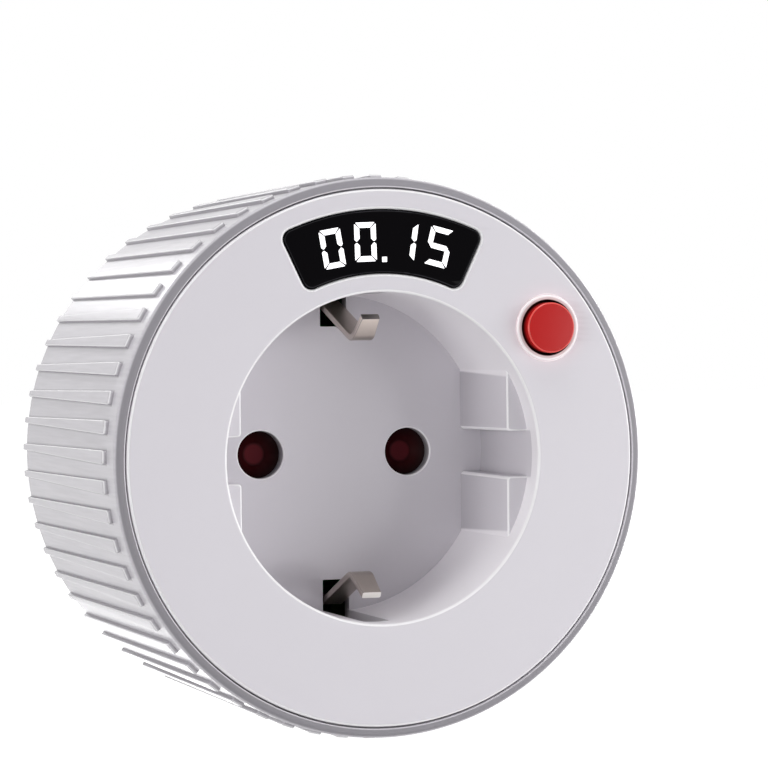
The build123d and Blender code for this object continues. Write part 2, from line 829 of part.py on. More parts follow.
def plug_earth_grooves():
    """Slots at the plug's top and bottom for its side earth contacts."""
    inner = plug_earth_face - plug_earth_thickness - fit_gap
    start = body_depth - rear_wall
    groove = slab(
        Pos(0, inner) * Rectangle(2 * earth_groove_half_width, boss_radius, align=(Align.CENTER, Align.MIN)),
        body_depth + 0.001,
        body_depth + plug_earth_end + 0.6,
    )
    hole = slab(
        Pos(0, inner) * Rectangle(
            plug_earth_width + 2 * fit_gap,
            plug_earth_thickness + 2 * fit_gap,
            align=(Align.CENTER, Align.MIN),
        ),
        start,
        body_depth + 0.001,
    )
    tuck_room = slab(
        Pos(0, inner - plug_earth_tuck - running_gap) * Rectangle(
            plug_earth_width + running_gap, boss_radius - inner, align=(Align.CENTER, Align.MIN)
        ),
        body_depth + plug_earth_end - 2.5,
        body_depth + plug_earth_end + 0.6,
    )
    upper = [groove, hole, tuck_room]
    return [*upper, *[mirror(cut, Plane.XY) for cut in upper]]


def make_plug_pin(place):
    plug_end = body_depth + plug_length
    head_front = plug_end - boss_end_wall - pin_head_height
    pin = rod(pin_radius, plug_end, plug_end + pin_length, place)
    pin = fillet(pin.edges().group_by(Axis.Y)[-1], pin_nose)
    pin += rod(pin_root_radius, plug_end - boss_end_wall, plug_end, place)
    pin += rod(pin_head_radius, head_front, plug_end - boss_end_wall, place)
    return pin + rod(pin_tail_radius, power_front - 0.6, head_front, place)


def make_pin_retainer():
    far = body_depth + plug_length - boss_end_wall
    near = far - retainer_thickness
    retainer = rod(retainer_radius, near, far)
    for place in pin_places:
        retainer -= rod(pin_head_radius + fit_gap, far - pin_head_height, far, place)
        retainer -= rod(pin_tail_radius + fit_gap, near, far, place)
    for place in retainer_screw_places:
        retainer -= rod(retainer_screw_radius, near, far, place)
    return retainer


def make_plug_earth_strip():
    """One U-shaped strip whose two ends are the plug's side contacts."""
    leg = plug_earth_face - plug_earth_thickness / 2
    bar_depth = earth_bar_front + plug_earth_thickness / 2
    end = body_depth + plug_earth_end
    half_path = [(leg - plug_earth_tuck, end), (leg, end - 1.4), (leg, bar_depth)]
    upper = [(0, front_y + depth, z) for z, depth in half_path]
    lower = [(0, front_y + depth, -z) for z, depth in reversed(half_path)]
    bend = plug_earth_thickness / 2 + 0.2
    earth = strip([*upper, *lower], plug_earth_width, plug_earth_thickness, bend)
    return earth - rod(earth_screw_radius, earth_bar_front, earth_bar_front + plug_earth_thickness)


# ---------------------------------------------------------------- screws
def screw(radius, head_radius, head_height, tip, head, place, head_towards_wall=True):
    """Screw from its tip's depth to its head's seat, with a slot in the head."""
    if head_towards_wall:
        body = rod(radius, tip, head, place) + rod(head_radius, head, head + head_height, place)
        slot = slab(Rectangle(2 * head_radius, 0.6), head + head_height / 2, head + head_height, place)
    else:
        body = rod(radius, head, tip, place) + rod(head_radius, head - head_height, head, place)
        slot = slab(Rectangle(2 * head_radius, 0.6), head - head_height, head - head_height / 2, place)
    return body - slot


def make_case_screws():
    seat = body_depth - case_head_sunk
    tip = post_end - case_screw_length / 2
    return Compound([
        screw(case_screw_radius, case_head_radius, case_head_height, tip, seat, place)
        for place in case_screw_places
    ])


def make_board_screws():
    return Compound([
        screw(board_screw_radius, *board_screw_head, board_front - board_screw_depth, board_rear, place)
        for place in board_screw_places
    ])


def make_carrier_screws():
    seat = carrier_front + carrier_plate
    return Compound([
        screw(carrier_screw_radius, *carrier_screw_head, floor_rear, seat, place)
        for place in carrier_screw_places
    ])


def make_retainer_screws():
    far = body_depth + plug_length - boss_end_wall
    tip = far + retainer_screw_bite
    seat = far - retainer_thickness
    return Compound([
        screw(retainer_screw_radius, *retainer_screw_head, tip, seat, place, False)
        for place in retainer_screw_places
    ])


# ---------------------------------------------------------------- ring detent
def make_detent_spring():
    """Leaf spring whose nose rests in a tooth space of the ring gear."""
    nose_azimuth = pinion_azimuth + 24 * 360 / ring_teeth
    leaf_radius = gear_tip_radius - detent_leaf_inset
    shoulder_radius = leaf_radius + detent_leaf_rise
    depth = (flange_front + flange_rear) / 2
    places = [
        polar(leaf_radius, nose_azimuth - 14),
        polar(shoulder_radius, nose_azimuth - 3),
        polar(ring_pitch_radius, nose_azimuth),
        polar(shoulder_radius, nose_azimuth + 3),
    ]
    points = [(x, front_y + depth, z) for x, z in places]
    return strip(points, detent_width, detent_thickness, detent_bend, across=(0, 1, 0))


parts = {
    "setting_ring": make_setting_ring(),
    "encoder_pinion": make_encoder_pinion(),
    "encoder_shaft": make_encoder_shaft(),
    "encoder_body": make_encoder_body(),
    "face_plate": make_face_plate(),
    "display_lens": make_display_lens(),
    "display_module": make_display_module(),
    "button_light_ring": make_button_light_ring(),
    "button_cap": make_button_cap(),
    "switch_plunger": make_switch_plunger(),
    "switch_body": make_switch_body(),
    "halo_lights": make_halo_lights(),
    "socket_well": make_socket_well(),
    "shutter": make_shutter(),
    "shutter_spring": make_shutter_spring(),
    "contact_carrier": make_contact_carrier(),
    "socket_contact_left": make_socket_contact(pin_places[0]),
    "socket_contact_right": make_socket_contact(pin_places[1]),
    "earth_bracket": make_earth_bracket(),
    "earth_post": make_earth_post(),
    "earth_screw": make_earth_screw(),
    "control_board": make_control_board(),
    "radio_module": make_radio_module(),
    "board_connectors": make_board_connectors(),
    "board_link": make_board_link(),
    "power_board": make_power_board(),
    "relay": make_relay(),
    "mains_capacitor": make_mains_capacitor(),
    "smoothing_capacitor": make_smoothing_capacitor(),
    "varistor": make_varistor(),
    "fuse": make_fuse(),
    "filter_choke": make_filter_choke(),
    "rear_housing": make_rear_housing(),
    "plug_pin_left": make_plug_pin(pin_places[0]),
    "plug_pin_right": make_plug_pin(pin_places[1]),
    "pin_retainer": make_pin_retainer(),
    "plug_earth_strip": make_plug_earth_strip(),
    "detent_spring": make_detent_spring(),
    "case_screws": make_case_screws(),
    "board_screws": make_board_screws(),
    "carrier_screws": make_carrier_screws(),
    "retainer_screws": make_retainer_screws(),
}

os.makedirs("parts", exist_ok=True)
for name, shape in parts.items():
    export_step(shape, f"parts/{name}.step")
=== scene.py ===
import math

import bmesh
import bpy
from mathutils import Matrix, Vector
from mathutils.geometry import tessellate_polygon


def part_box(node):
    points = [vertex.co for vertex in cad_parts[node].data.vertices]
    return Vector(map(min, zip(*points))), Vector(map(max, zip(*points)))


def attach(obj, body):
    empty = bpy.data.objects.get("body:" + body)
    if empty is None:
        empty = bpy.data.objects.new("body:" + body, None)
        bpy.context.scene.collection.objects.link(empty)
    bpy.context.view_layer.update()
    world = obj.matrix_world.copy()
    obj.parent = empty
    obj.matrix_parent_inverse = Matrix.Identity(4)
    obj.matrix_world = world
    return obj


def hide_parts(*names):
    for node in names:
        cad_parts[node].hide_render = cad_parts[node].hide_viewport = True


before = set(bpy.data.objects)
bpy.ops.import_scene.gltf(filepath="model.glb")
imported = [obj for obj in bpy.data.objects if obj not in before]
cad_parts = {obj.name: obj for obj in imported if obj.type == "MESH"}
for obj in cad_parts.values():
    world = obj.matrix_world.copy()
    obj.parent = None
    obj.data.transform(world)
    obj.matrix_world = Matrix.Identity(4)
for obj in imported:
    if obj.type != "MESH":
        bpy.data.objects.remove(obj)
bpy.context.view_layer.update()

# The socket faces -Y. Sizes are in millimetres, and a depth is counted from the front
# face towards the wall. An azimuth is in degrees from +X towards +Z, seen from the front.
MM = 0.001
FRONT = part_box("face_plate")[0].y / MM

# ---------------------------------------------------------------- face and well
FACE_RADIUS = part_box("face_plate")[1].x / MM
PLATE_THICKNESS = 2.0
RIM_ROUNDING = 0.35
MOUTH_ROUNDING = 0.38
RECESS_ROUNDING = 0.4
SEAM = 0.03                     # gap round the window and the collar
SEAM_ANGLE = 0.06               # the same at the window's ends, in degrees
WELL_RADIUS = 19.5
WELL_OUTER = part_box("socket_well")[1].x / MM
WELL_DEPTH = 17.5
FLOOR_REAR = 19.1
WELL_FLOOR_RADIUS = 19.25
PIN_PLACE = 9.5
PIN_HOLE = 2.88
PIN_HOLE_ROUNDING = 0.24
GUIDE_FRONT = 3.05
GUIDE_FLATS = (16.75, 16.5)     # half width between the blocks, at their front and foot
GUIDE_SLOTS = (2.72, 2.6)       # half height of the slot between two blocks
GUIDE_FILLET = 0.45
GUIDE_ROUNDING = 0.28
GUIDE_BED = 0.35                # what a block reaches into the wall
POCKET_HALF = 1.7
POCKET_INNER = 15.4
POCKET_OUTER = 19.17
SKIRT_OUTER = 14.5
SKIRT_INNER = 13.3
SKIRT_REAR = 21.5

# Posts behind the face: radius, end, bore radius and where the bore starts.
CASE_POST = (2.5, 36.0, 1.25, 28.0)
CASE_POST_AZIMUTHS = (0.0, 180.0, 270.0)
BOARD_POST = (1.6, 10.0, 0.8, 7.0)
BOARD_POST_AZIMUTHS = (150.0, 245.0, 330.0)

# ---------------------------------------------------------------- earth clips
CLIP_TIP = (16.6, 4.6)          # height and depth
CLIP_KNEE = (13.87, 7.6)
LOWER_CLIP_TIP = (16.45, 5.1)
LOWER_CLIP_KNEE = (14.05, 8.9)
CLIP_BENDS = (2.0, 1.0, 1.0)
CLIP_WIDTHS = (2.25, 0.45)      # at the tip, and what it gains
CLIP_TAPER = 2.6                # depth over which it gains it
CLIP_SLOT = (18.6, 22.5)        # heights of the slot through the cup's wall
CLIP_SLOT_FRONT = 3.6
CLIP_LEG = 18.15
CLIP_THICKNESS = 0.8
CLIP_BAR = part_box("earth_bracket")[1].y / MM - FRONT - CLIP_THICKNESS / 2
PAD_RADIUS = 3.4
PAD_HOLE = 1.55

# ---------------------------------------------------------------- setting ring
RING_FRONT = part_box("setting_ring")[0].y / MM - FRONT
RING_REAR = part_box("setting_ring")[1].y / MM - FRONT
RING_FRONT_RADIUS = 33.0
RING_REAR_RADIUS = 31.75
RING_LIP = 32.45
RING_MOUTH = 31.8
RING_WALL = 1.8
SLEEVE_STEP = 31.02             # inside radius just behind the gear
GEAR_ROOT = 31.3
GEAR_TIP = 30.3
GEAR_FRONT = 2.2
GEAR_REAR = 6.2
GEAR_TEETH = 102
TOOTH_FLANK = [(GEAR_ROOT + 0.05, 0.74), (30.6, 0.46), (GEAR_TIP, 0.36)]
PINION_AZIMUTH = 215.0
RIB_FRONT = 4.0
RIB_COUNT = 60
RIB_AZIMUTH = 4.75
RIB_WIDTHS = (1.64, 0.8)        # front and rear
RIB_HEIGHTS = (0.5, 0.4)
RIB_FOOT = 0.6                  # depth of a rib's foot in the sleeve
RIB_ROUNDING = 0.14

# ---------------------------------------------------------------- display
LENS_AZIMUTH = 90.0
LENS_INNER = 21.7
LENS_OUTER = 29.2
LENS_HALF_ANGLE = 25.9
LENS_CORNER = 1.2
LENS_THICKNESS = 1.4
LENS_BEVEL = 0.32
LEDGE = 1.0                     # width of the window's seat
LEDGE_ANGLE = 2.0               # the same at the window's ends, in degrees
LEDGE_OVERLAP = 0.5             # what the seat reaches into the plate
DIGIT_HEIGHT = 4.6
STROKE = 0.64
DIGIT_PROUD = 0.015
DIGIT_REAR = 0.05
# Lit bars, centre, turn and width of each digit, then the corners of the point.
DIGITS = [
    ("abcdef", -6.36, 24.62, 10.0, 2.70),
    ("abcdef", -2.23, 25.37, 1.8, 2.70),
    ("bc", 2.72, 25.5, -8.5, 2.88),
    ("afgcd", 6.98, 24.74, -14.5, 2.96),
]
POINT = [(-0.16, 23.0), (0.45, 23.02), (0.44, 23.64), (-0.17, 23.62)]

# ---------------------------------------------------------------- button
BUTTON_X = (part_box("button_cap")[0].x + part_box("button_cap")[1].x) / 2 / MM
BUTTON_Z = (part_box("button_cap")[0].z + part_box("button_cap")[1].z) / 2 / MM
BUTTON_PLACE = (BUTTON_X, BUTTON_Z)
COLLAR_RADIUS = 3.93
COLLAR_BORE = 3.3
COLLAR_PROUD = 0.25
COLLAR_FLANGE = 4.2
COLLAR_FLANGE_REAR = 2.6
COLLAR_REAR = 4.6
CAP_RADIUS = 3.0
CAP_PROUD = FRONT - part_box("button_cap")[0].y / MM
CAP_CHAMFER = 0.15
CAP_FLANGE = 3.7
CAP_FLANGE_FRONT = 4.9
CAP_REAR = 5.4
CAP_BORE = 2.2
CAP_STEM = 1.2
CAP_CROWN_REAR = 0.8

# ---------------------------------------------------------------- rear and plug
HOUSING_BEVEL = 0.12
SEAT_DEPTH = 44.2
PLUG_END = 61.4
PIN_RADIUS = 2.4
PIN_LENGTH = 19.0
PIN_NOSE = 1.6
PIN_ROOT = (2.75, 58.4)         # radius and front end
PIN_FLANGE = (3.3, 57.2)
PIN_TAIL = (1.3, 37.9)
STRIP_LEG, STRIP_BAR, STRIP_END = 16.5, 41.2, 59.6
STRIP_WIDTH = 4.0
STRIP_THICKNESS = 0.8
SCREW_PLACE = 25.2
SCREW_SEAT = SEAT_DEPTH - 3.0
SCREW_HEAD = 2.3
SCREW_HEAD_HEIGHT = 1.6
SCREW_TIP = (0.5, 28.0)         # radius and depth
SCREW_THREAD = (1.25, 29.4)
SCREW_CROSS = (1.25, 0.24)      # reach and half width

# ---------------------------------------------------------------- finish
SHARP_ANGLE = 32.0
MOULDED_BUMP = 0.02
ROLLED_BUMP = 0.01
# Painted light: a lighter colour for walls along the axis, and near-white painted edge highlights.
PAINTED_WALL_LIGHT = (0.94, 0.915, 0.945)
PAINTED_EDGE_HIGHLIGHT = (0.98, 0.97, 0.985)


# ---------------------------------------------------------------- outlines
def polar(radius, azimuth):
    """Front-view place from a radius and an azimuth."""
    turn = math.radians(azimuth)
    return (radius * math.cos(turn), radius * math.sin(turn))


def placed(points, centre, azimuth=0.0):
    """Outline turned by an azimuth and moved to a centre."""
    cosine, sine = polar(1.0, azimuth)
    return [(centre[0] + x * cosine - z * sine, centre[1] + x * sine + z * cosine) for x, z in points]


def circle(radius, count=192, centre=(0.0, 0.0)):
    """Points round a circle, anticlockwise."""
    return placed([polar(radius, 360.0 * index / count) for index in range(count)], centre)


def corner_arc(points, index, radius, steps):
    """Points of the arc that rounds an outline's corner."""
    here = Vector(points[index])
    before = Vector(points[index - 1]) - here
    after = Vector(points[(index + 1) % len(points)]) - here
    half = before.angle(after) / 2
    reach = min(radius / math.tan(half), 0.49 * before.length, 0.49 * after.length)
    size = reach * math.tan(half)
    start = here + before.normalized() * reach
    end = here + after.normalized() * reach
    centre = here + (before.normalized() + after.normalized()).normalized() * size / math.sin(half)
    first = start - centre
    sweep = first.angle_signed(end - centre)
    arc = []
    for step in range(steps + 1):
        spoke = first.copy()
        spoke.rotate(Matrix.Rotation(-sweep * step / steps, 2))
        arc.append(tuple(centre + spoke))
    return arc


def rounded(points, radii, steps=5):
    """Closed outline with an arc at each corner; a radius of 0 keeps the corner sharp."""
    outline = []
    for index, corner in enumerate(points):
        radius = radii[index] if isinstance(radii, list) else radii
        outline += corner_arc(points, index, radius, steps) if radius > 0 else [tuple(Vector(corner))]
    return outline


def signed_area(points):
    """Area of a closed outline, positive when it runs anticlockwise."""
    total = 0.0
    for index, (x, z) in enumerate(points):
        following = points[(index + 1) % len(points)]
        total += x * following[1] - following[0] * z
    return total / 2


def inset(points, distance):
    """Outline moved inwards by a distance, or outwards when it is negative."""
    sign = 1.0 if signed_area(points) > 0 else -1.0
    moved = []
    for index, point in enumerate(points):
        here = Vector(point)
        along = (here - Vector(points[index - 1])).normalized()
        ahead = (Vector(points[(index + 1) % len(points)]) - here).normalized()
        normal = Vector((-along.y, along.x)) + Vector((-ahead.y, ahead.x))
        normal.normalize()
        stretch = max(0.3, normal.dot(Vector((-ahead.y, ahead.x))))
        moved.append(tuple(here + normal * (sign * distance / stretch)))
    return moved


def sector(inner, outer, half_angle, corner):
    """Rounded sector of an annulus about the display's azimuth, anticlockwise."""
    points = []
    first = -90.0
    for edge, side in ((outer, 1.0), (inner, -1.0)):
        centre_radius = edge - side * corner
        span = half_angle - math.degrees(corner / centre_radius)
        for way in (-side, side):
            turn = LENS_AZIMUTH + way * span
            arc = [polar(corner, turn + first + 90.0 * step / 8) for step in range(9)]
            points += placed(arc, polar(centre_radius, turn))
            first += 90.0
            if way == -side:
                points += [polar(edge, turn + side * span * step / 20) for step in range(1, 40)]
    return points


# ---------------------------------------------------------------- meshes
def at_depth(point, depth):
    """Front-view point at a depth, in metres."""
    return Vector((point[0] * MM, (FRONT + depth) * MM, point[1] * MM))


def smoothed(mesh, sharp=SHARP_ANGLE):
    """The mesh, smooth but for its hard edges."""
    for polygon in mesh.polygons:
        polygon.use_smooth = True
    mesh.set_sharp_from_angle(angle=math.radians(sharp))
    return mesh


def finished_mesh(name, shape, sharp=SHARP_ANGLE):
    """Mesh from a bmesh, with faces outwards, smooth but for its hard edges."""
    bmesh.ops.remove_doubles(shape, verts=shape.verts, dist=1e-7)
    bmesh.ops.recalc_face_normals(shape, faces=shape.faces)
    return smoothed(plain_mesh(name, shape), sharp)


def plain_mesh(name, shape):
    """Mesh from a bmesh as it is."""
    mesh = bpy.data.meshes.new(name)
    shape.to_mesh(mesh)
    shape.free()
    return mesh


def add_ring(shape, points, depth):
    """Vertices of an outline at a depth."""
    return [shape.verts.new(at_depth(point, depth)) for point in points]


def bridge(shape, rings):
    """Quads between each two rings that follow one another, of as many vertices."""
    for first, second in zip(rings, rings[1:]):
        for index in range(len(first)):
            following = (index + 1) % len(first)
            shape.faces.new((first[index], first[following], second[following], second[index]))


def add_turned(shape, profile, centre=(0.0, 0.0), segments=192):
    """Closed outline of (radius, depth) points, turned about an axis through centre."""
    rings = []
    for radius, depth in profile:
        outline = [centre] if radius < 1e-6 else circle(radius, segments, centre)
        rings.append(add_ring(shape, outline, depth))
    for ring, following in zip(rings, rings[1:] + rings[:1]):
        if len(ring) == len(following) > 1:
            bridge(shape, [ring, following])
        elif len(ring) != len(following):
            tip, rim = (ring[0], following) if len(ring) == 1 else (following[0], ring)
            for step in range(len(rim)):
                shape.faces.new((tip, rim[step], rim[(step + 1) % len(rim)]))


def edge_rounding(points, side, size, flat, inwards, steps):
    """Rows of a rounded edge from the plate's flat to its wall, as outlines and depths."""
    if size <= 0:
        return [(points, flat)]
    rows = []
    for step in range(steps + 1):
        turn = math.pi / 2 * step / steps
        away = size * (1 - math.sin(turn))
        moved = inset(points, side * away) if away > 1e-9 else points
        rows.append((moved, flat + inwards * size * (1 - math.cos(turn))))
    return rows


def add_plate(shape, outlines, near, far, drafts=None, steps=4):
    """Plate with holes: each outline comes with its front and rear edge rounding.

    The first outline is the rim and the others are holes. drafts gives the outlines at the
    rear where the walls lean.
    """
    fronts, backs = [], []
    for index, (points, front_size, rear_size) in enumerate(outlines):
        side = 1.0 if index == 0 else -1.0
        rear_points = drafts[index] if drafts else points
        rows = edge_rounding(points, side, front_size, near, 1.0, steps)
        rows += reversed(edge_rounding(rear_points, side, rear_size, far, -1.0, steps))
        rings = [add_ring(shape, row, depth) for row, depth in rows]
        bridge(shape, rings)
        fronts.append(rings[0])
        backs.append(rings[-1])
    for loops in (fronts, backs):
        verts = [vert for ring in loops for vert in ring]
        level = [[Vector((vert.co.x, vert.co.z, 0.0)) for vert in ring] for ring in loops]
        for corners in tessellate_polygon(level):
            if len(set(corners)) == 3:
                shape.faces.new([verts[corner] for corner in corners])


def add_capped(shape, rings):
    """Skin over rings of vertices, closed at both ends."""
    bridge(shape, rings)
    shape.faces.new(rings[0])
    shape.faces.new(rings[-1])


def add_swept(shape, path, widths, thickness, edge):
    """Flat strip with rounded edges along a path of points in metres, its width along X."""
    rings = []
    across = Vector((1.0, 0.0, 0.0))
    thick = thickness / 2
    for index, point in enumerate(path):
        along = (path[min(index + 1, len(path) - 1)] - path[max(index - 1, 0)]).normalized()
        up = across.cross(along).normalized()
        half = widths[index] / 2
        outline = rounded([(-half, -thick), (half, -thick), (half, thick), (-half, thick)], edge, 3)
        rings.append([shape.verts.new(point + across * (u * MM) + up * (v * MM)) for u, v in outline])
    add_capped(shape, rings)


def bent_path(points, radii, steps=7):
    """Side-view path of (height, depth) corners with rounded bends, in metres."""
    line = [points[0]]
    for index, radius in enumerate(radii, 1):
        line += corner_arc(points, index, radius, steps)
    line.append(points[-1])
    return [at_depth((0.0, height), depth) for height, depth in line]


def mirrored(points):
    """Mirror image of a path of (height, depth) corners, from its end to its start."""
    return [(-height, depth) for height, depth in reversed(points)]


# ---------------------------------------------------------------- objects
def new_object(name, data):
    """New object in the scene."""
    obj = bpy.data.objects.new(name, data)
    bpy.context.scene.collection.objects.link(obj)
    return obj


def adjusted(thing, **settings):
    """The node, modifier, lamp or camera with its settings."""
    for name, setting in settings.items():
        setattr(thing, name, setting)
    return thing


def applied(carrier, *helpers):
    """Mesh of a scratch object with its modifiers applied; the objects are removed."""
    settled = bpy.context.evaluated_depsgraph_get()
    mesh = bpy.data.meshes.new_from_object(carrier.evaluated_get(settled))
    for obj in (carrier, *helpers):
        bpy.data.objects.remove(obj)
    return mesh


def weighted(mesh):
    """Mesh whose flat faces keep their own normals beside rounded edges."""
    carrier = new_object("weighting", mesh)
    adjusted(carrier.modifiers.new("weighted", "WEIGHTED_NORMAL"), keep_sharp=True, weight=100)
    return applied(carrier)


def piece(name, made, slot, node=None, body="housing", finish=None, sharp=SHARP_ANGLE):
    """Object from a mesh or a bmesh that rides on a body, in place of its CAD node."""
    mesh = finished_mesh(name, made, sharp) if isinstance(made, bmesh.types.BMesh) else made
    obj = new_object(name, weighted(mesh))
    obj.data.materials.clear()
    obj.data.materials.append(materials[finish or slot])
    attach(obj, body)
    if node:
        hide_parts(node)


# ---------------------------------------------------------------- shader nodes
class Wire:
    """Output of a node, as a value to reckon with."""

    def __init__(self, node, output):
        self.node = node
        self.output = output
        self.tree = node.id_data

    def __add__(self, other):
        return reckon("ADD", self, other)

    def __sub__(self, other):
        return reckon("SUBTRACT", self, other)

    def __rsub__(self, other):
        return reckon("SUBTRACT", other, self)

    def __mul__(self, other):
        return reckon("MULTIPLY", self, other)

    def __truediv__(self, other):
        return reckon("DIVIDE", self, other)

    def __abs__(self):
        return reckon("ABSOLUTE", self)


def feed(node, values):
    """Sets inputs by name or number: a wire is linked, anything else is the value."""
    for name, value in values.items():
        if isinstance(value, Wire):
            value.tree.links.new(value.node.outputs[value.output], node.inputs[name])
        else:
            node.inputs[name].default_value = value


def add_node(tree, kind, values=None, **settings):
    """New node with its settings and its inputs."""
    node = adjusted(tree.nodes.new(kind), **settings)
    feed(node, values or {})
    return node


def fetch(tree, kind, output, values=None, **settings):
    """One output of a new node."""
    return Wire(add_node(tree, kind, values, **settings), output)


def reckon(operation, first, second=0.0):
    """Math node on two values, each a number or a wire."""
    tree = first.tree if isinstance(first, Wire) else second.tree
    return fetch(tree, "ShaderNodeMath", "Value", {0: first, 1: second}, operation=operation)


def mapped(source, low, high, new_low, new_high):
    """Map Range node on a value."""
    values = {"Value": source, "From Min": low, "From Max": high, "To Min": new_low, "To Max": new_high}
    return fetch(source.tree, "ShaderNodeMapRange", "Result", values)


def above(source, low, high):
    """Mask that rises from 0 to 1 between two sizes in millimetres."""
    return mapped(source, low * MM, high * MM, 0.0, 1.0)


def below(source, low, high):
    """Mask that falls from 1 to 0 between two sizes in millimetres."""
    return mapped(source, low * MM, high * MM, 1.0, 0.0)


def coordinates(tree, kind="Object"):
    """Object place, or the surface's normal when kind is Normal."""
    return fetch(tree, "ShaderNodeTexCoord", kind)


def axes(tree, kind="Object"):
    """X, Y and Z of the object place or of the normal."""
    split = add_node(tree, "ShaderNodeSeparateXYZ", {"Vector": coordinates(tree, kind)})
    return Wire(split, "X"), Wire(split, "Y"), Wire(split, "Z")


def noise(tree, scale, detail, vector=None):
    """Noise value at a number or wire of scale."""
    values = {"Vector": vector or coordinates(tree), "Scale": scale, "Detail": detail}
    return fetch(tree, "ShaderNodeTexNoise", "Fac", values)


def streaks(tree, stretch):
    """Noise with its own number of grains per metre along each axis."""
    values = {0: coordinates(tree), 1: stretch}
    drawn = fetch(tree, "ShaderNodeVectorMath", "Vector", values, operation="MULTIPLY")
    return noise(tree, 1.0, 3.0, drawn)


def reach(across, up, centre=(0.0, 0.0)):
    """Distance from an axis through a centre in the face plane, in metres."""
    east, north = across - centre[0] * MM, up - centre[1] * MM
    return reckon("SQRT", east * east + north * north)


def blended(mask, first, second):
    """Colour mix by a mask; each colour is three numbers or a wire."""
    values = {"Factor": mask}
    for number, colour in ((6, first), (7, second)):
        values[number] = (*colour, 1.0) if isinstance(colour, tuple) else colour
    return fetch(mask.tree, "ShaderNodeMix", 2, values, data_type="RGBA")


def dimmed(colour, level):
    """Colour, four numbers or a wire, at a level of its brightness."""
    return fetch(level.tree, "ShaderNodeHueSaturation", "Color", {"Color": colour, "Value": level})


def seen_rays(tree):
    """Mask of the rays that see a surface, not those that light another one."""
    rays = add_node(tree, "ShaderNodeLightPath")
    seen = reckon("MAXIMUM", Wire(rays, "Is Camera Ray"), Wire(rays, "Is Glossy Ray"))
    return reckon("MAXIMUM", seen, Wire(rays, "Is Transmission Ray"))


# ---------------------------------------------------------------- node groups
def new_group(name, inputs, outputs):
    """Shader node group: its tree, its input node and its output node."""
    tree = bpy.data.node_groups.new(name, "ShaderNodeTree")
    kinds = {1: "NodeSocketFloat", 3: "NodeSocketVector", 4: "NodeSocketColor"}
    for label, value in inputs.items():
        kind = kinds[len(value) if isinstance(value, tuple) else 1]
        tree.interface.new_socket(name=label, in_out="INPUT", socket_type=kind).default_value = value
    for label in outputs:
        kind = kinds[4 if label == "Colour" else 1]
        tree.interface.new_socket(name=label, in_out="OUTPUT", socket_type=kind)
    return tree, add_node(tree, "NodeGroupInput"), add_node(tree, "NodeGroupOutput")


def add_finish(end, colour, drawn, start):
    """Ends a finish group: its colour, its roughness round the given one and its height."""
    swing = (drawn - 0.5) * Wire(start, "Roughness spread")
    feed(end, {"Colour": colour, "Roughness": swing + Wire(start, "Roughness"), "Height": drawn})


def moulded_grain_group():
    """Fine spark grain and slow mottling of moulded plastic."""
    tree, start, end = new_group("moulded_grain", {
        "Colour": (0.7, 0.7, 0.7, 1.0),
        "Grains per metre": 9000.0,
        "Mottle": 0.03,
        "Roughness": 0.4,
        "Roughness spread": 0.06,
    }, ["Colour", "Roughness", "Height"])
    grain = noise(tree, Wire(start, "Grains per metre"), 2.0)
    mottle = (noise(tree, 55.0, 3.0) - 0.5) * Wire(start, "Mottle") + 1.0
    add_finish(end, dimmed(Wire(start, "Colour"), mottle), grain, start)
    return tree


def drawn_metal_group():
    """Long streaks of rolled or drawn metal, with a slow tarnish."""
    tree, start, end = new_group("drawn_metal", {
        "Colour": (0.6, 0.57, 0.52, 1.0),
        "Tarnish": (0.4, 0.34, 0.28, 1.0),
        "Stretch": (6000.0, 6000.0, 300.0),
        "Roughness": 0.25,
        "Roughness spread": 0.15,
    }, ["Colour", "Roughness", "Height"])
    tarnish = mapped(noise(tree, 220.0, 4.0), 0.45, 0.75, 0.0, 1.0)
    colour = blended(tarnish, Wire(start, "Colour"), Wire(start, "Tarnish"))
    add_finish(end, colour, streaks(tree, Wire(start, "Stretch")), start)
    return tree


def edge_highlight_group():
    """Mask of the broken edges between flats and walls that lie across or along the axis, for painted
    highlights.
    """
    tree, start, end = new_group("edge_highlight", {"Flat": 0.985, "Wall": 0.2, "Blend": 0.05}, ["Edge"])
    lean = abs(axes(tree, "Normal")[1])
    between = reckon("MINIMUM", lean - Wire(start, "Wall"), Wire(start, "Flat") - lean)
    share = reckon("MINIMUM", between / Wire(start, "Blend"), 1.0)
    feed(end, {"Edge": reckon("MAXIMUM", share, 0.0)})
    return tree


def grip_rib_group():
    """Masks of the grip ribs: painted shade in the crease round each foot and a painted highlight on the
    broken edge of each top.
    """
    tree, start, end = new_group("grip_rib", {
        "First azimuth": RIB_AZIMUTH,
        "Pitch": 360.0 / RIB_COUNT,
        "Crease shade width": 0.27 * MM,
    }, ["Crease", "Edge", "Radius"])
    x, y, z = axes(tree)
    normal_x, _, normal_z = axes(tree, "Normal")
    pitch = Wire(start, "Pitch")
    radius = reach(x, z)
    azimuth = reckon("DEGREES", reckon("ARCTAN2", z, x))
    turns = (azimuth - Wire(start, "First azimuth")) / pitch
    share = abs(reckon("FRACT", turns + (RIB_COUNT + 0.5)) - 0.5)
    aside = reckon("RADIANS", share * pitch) * radius
    near, far = (FRONT + RIB_FRONT) * MM, (FRONT + RING_REAR) * MM
    half = mapped(y, near, far, RIB_WIDTHS[0] / 2 * MM, RIB_WIDTHS[1] / 2 * MM)
    outside = abs(reckon("MAXIMUM", aside - half, near - y))
    line = 1.0 - reckon("MINIMUM", outside / Wire(start, "Crease shade width"), 1.0)
    lip = (FRONT + RING_FRONT) * MM
    height = radius - mapped(y, lip, far, RING_FRONT_RADIUS * MM, RING_REAR_RADIUS * MM)
    outward = (normal_x * x + normal_z * z) / radius
    edge = mapped(outward, 0.25, 0.5, 0.0, 1.0) * mapped(outward, 0.935, 0.995, 1.0, 0.0)
    feed(end, {
        "Crease": line * below(height, 0.28, 0.42),
        "Edge": edge * above(height, 0.3, 0.4),
        "Radius": radius,
    })
    return tree


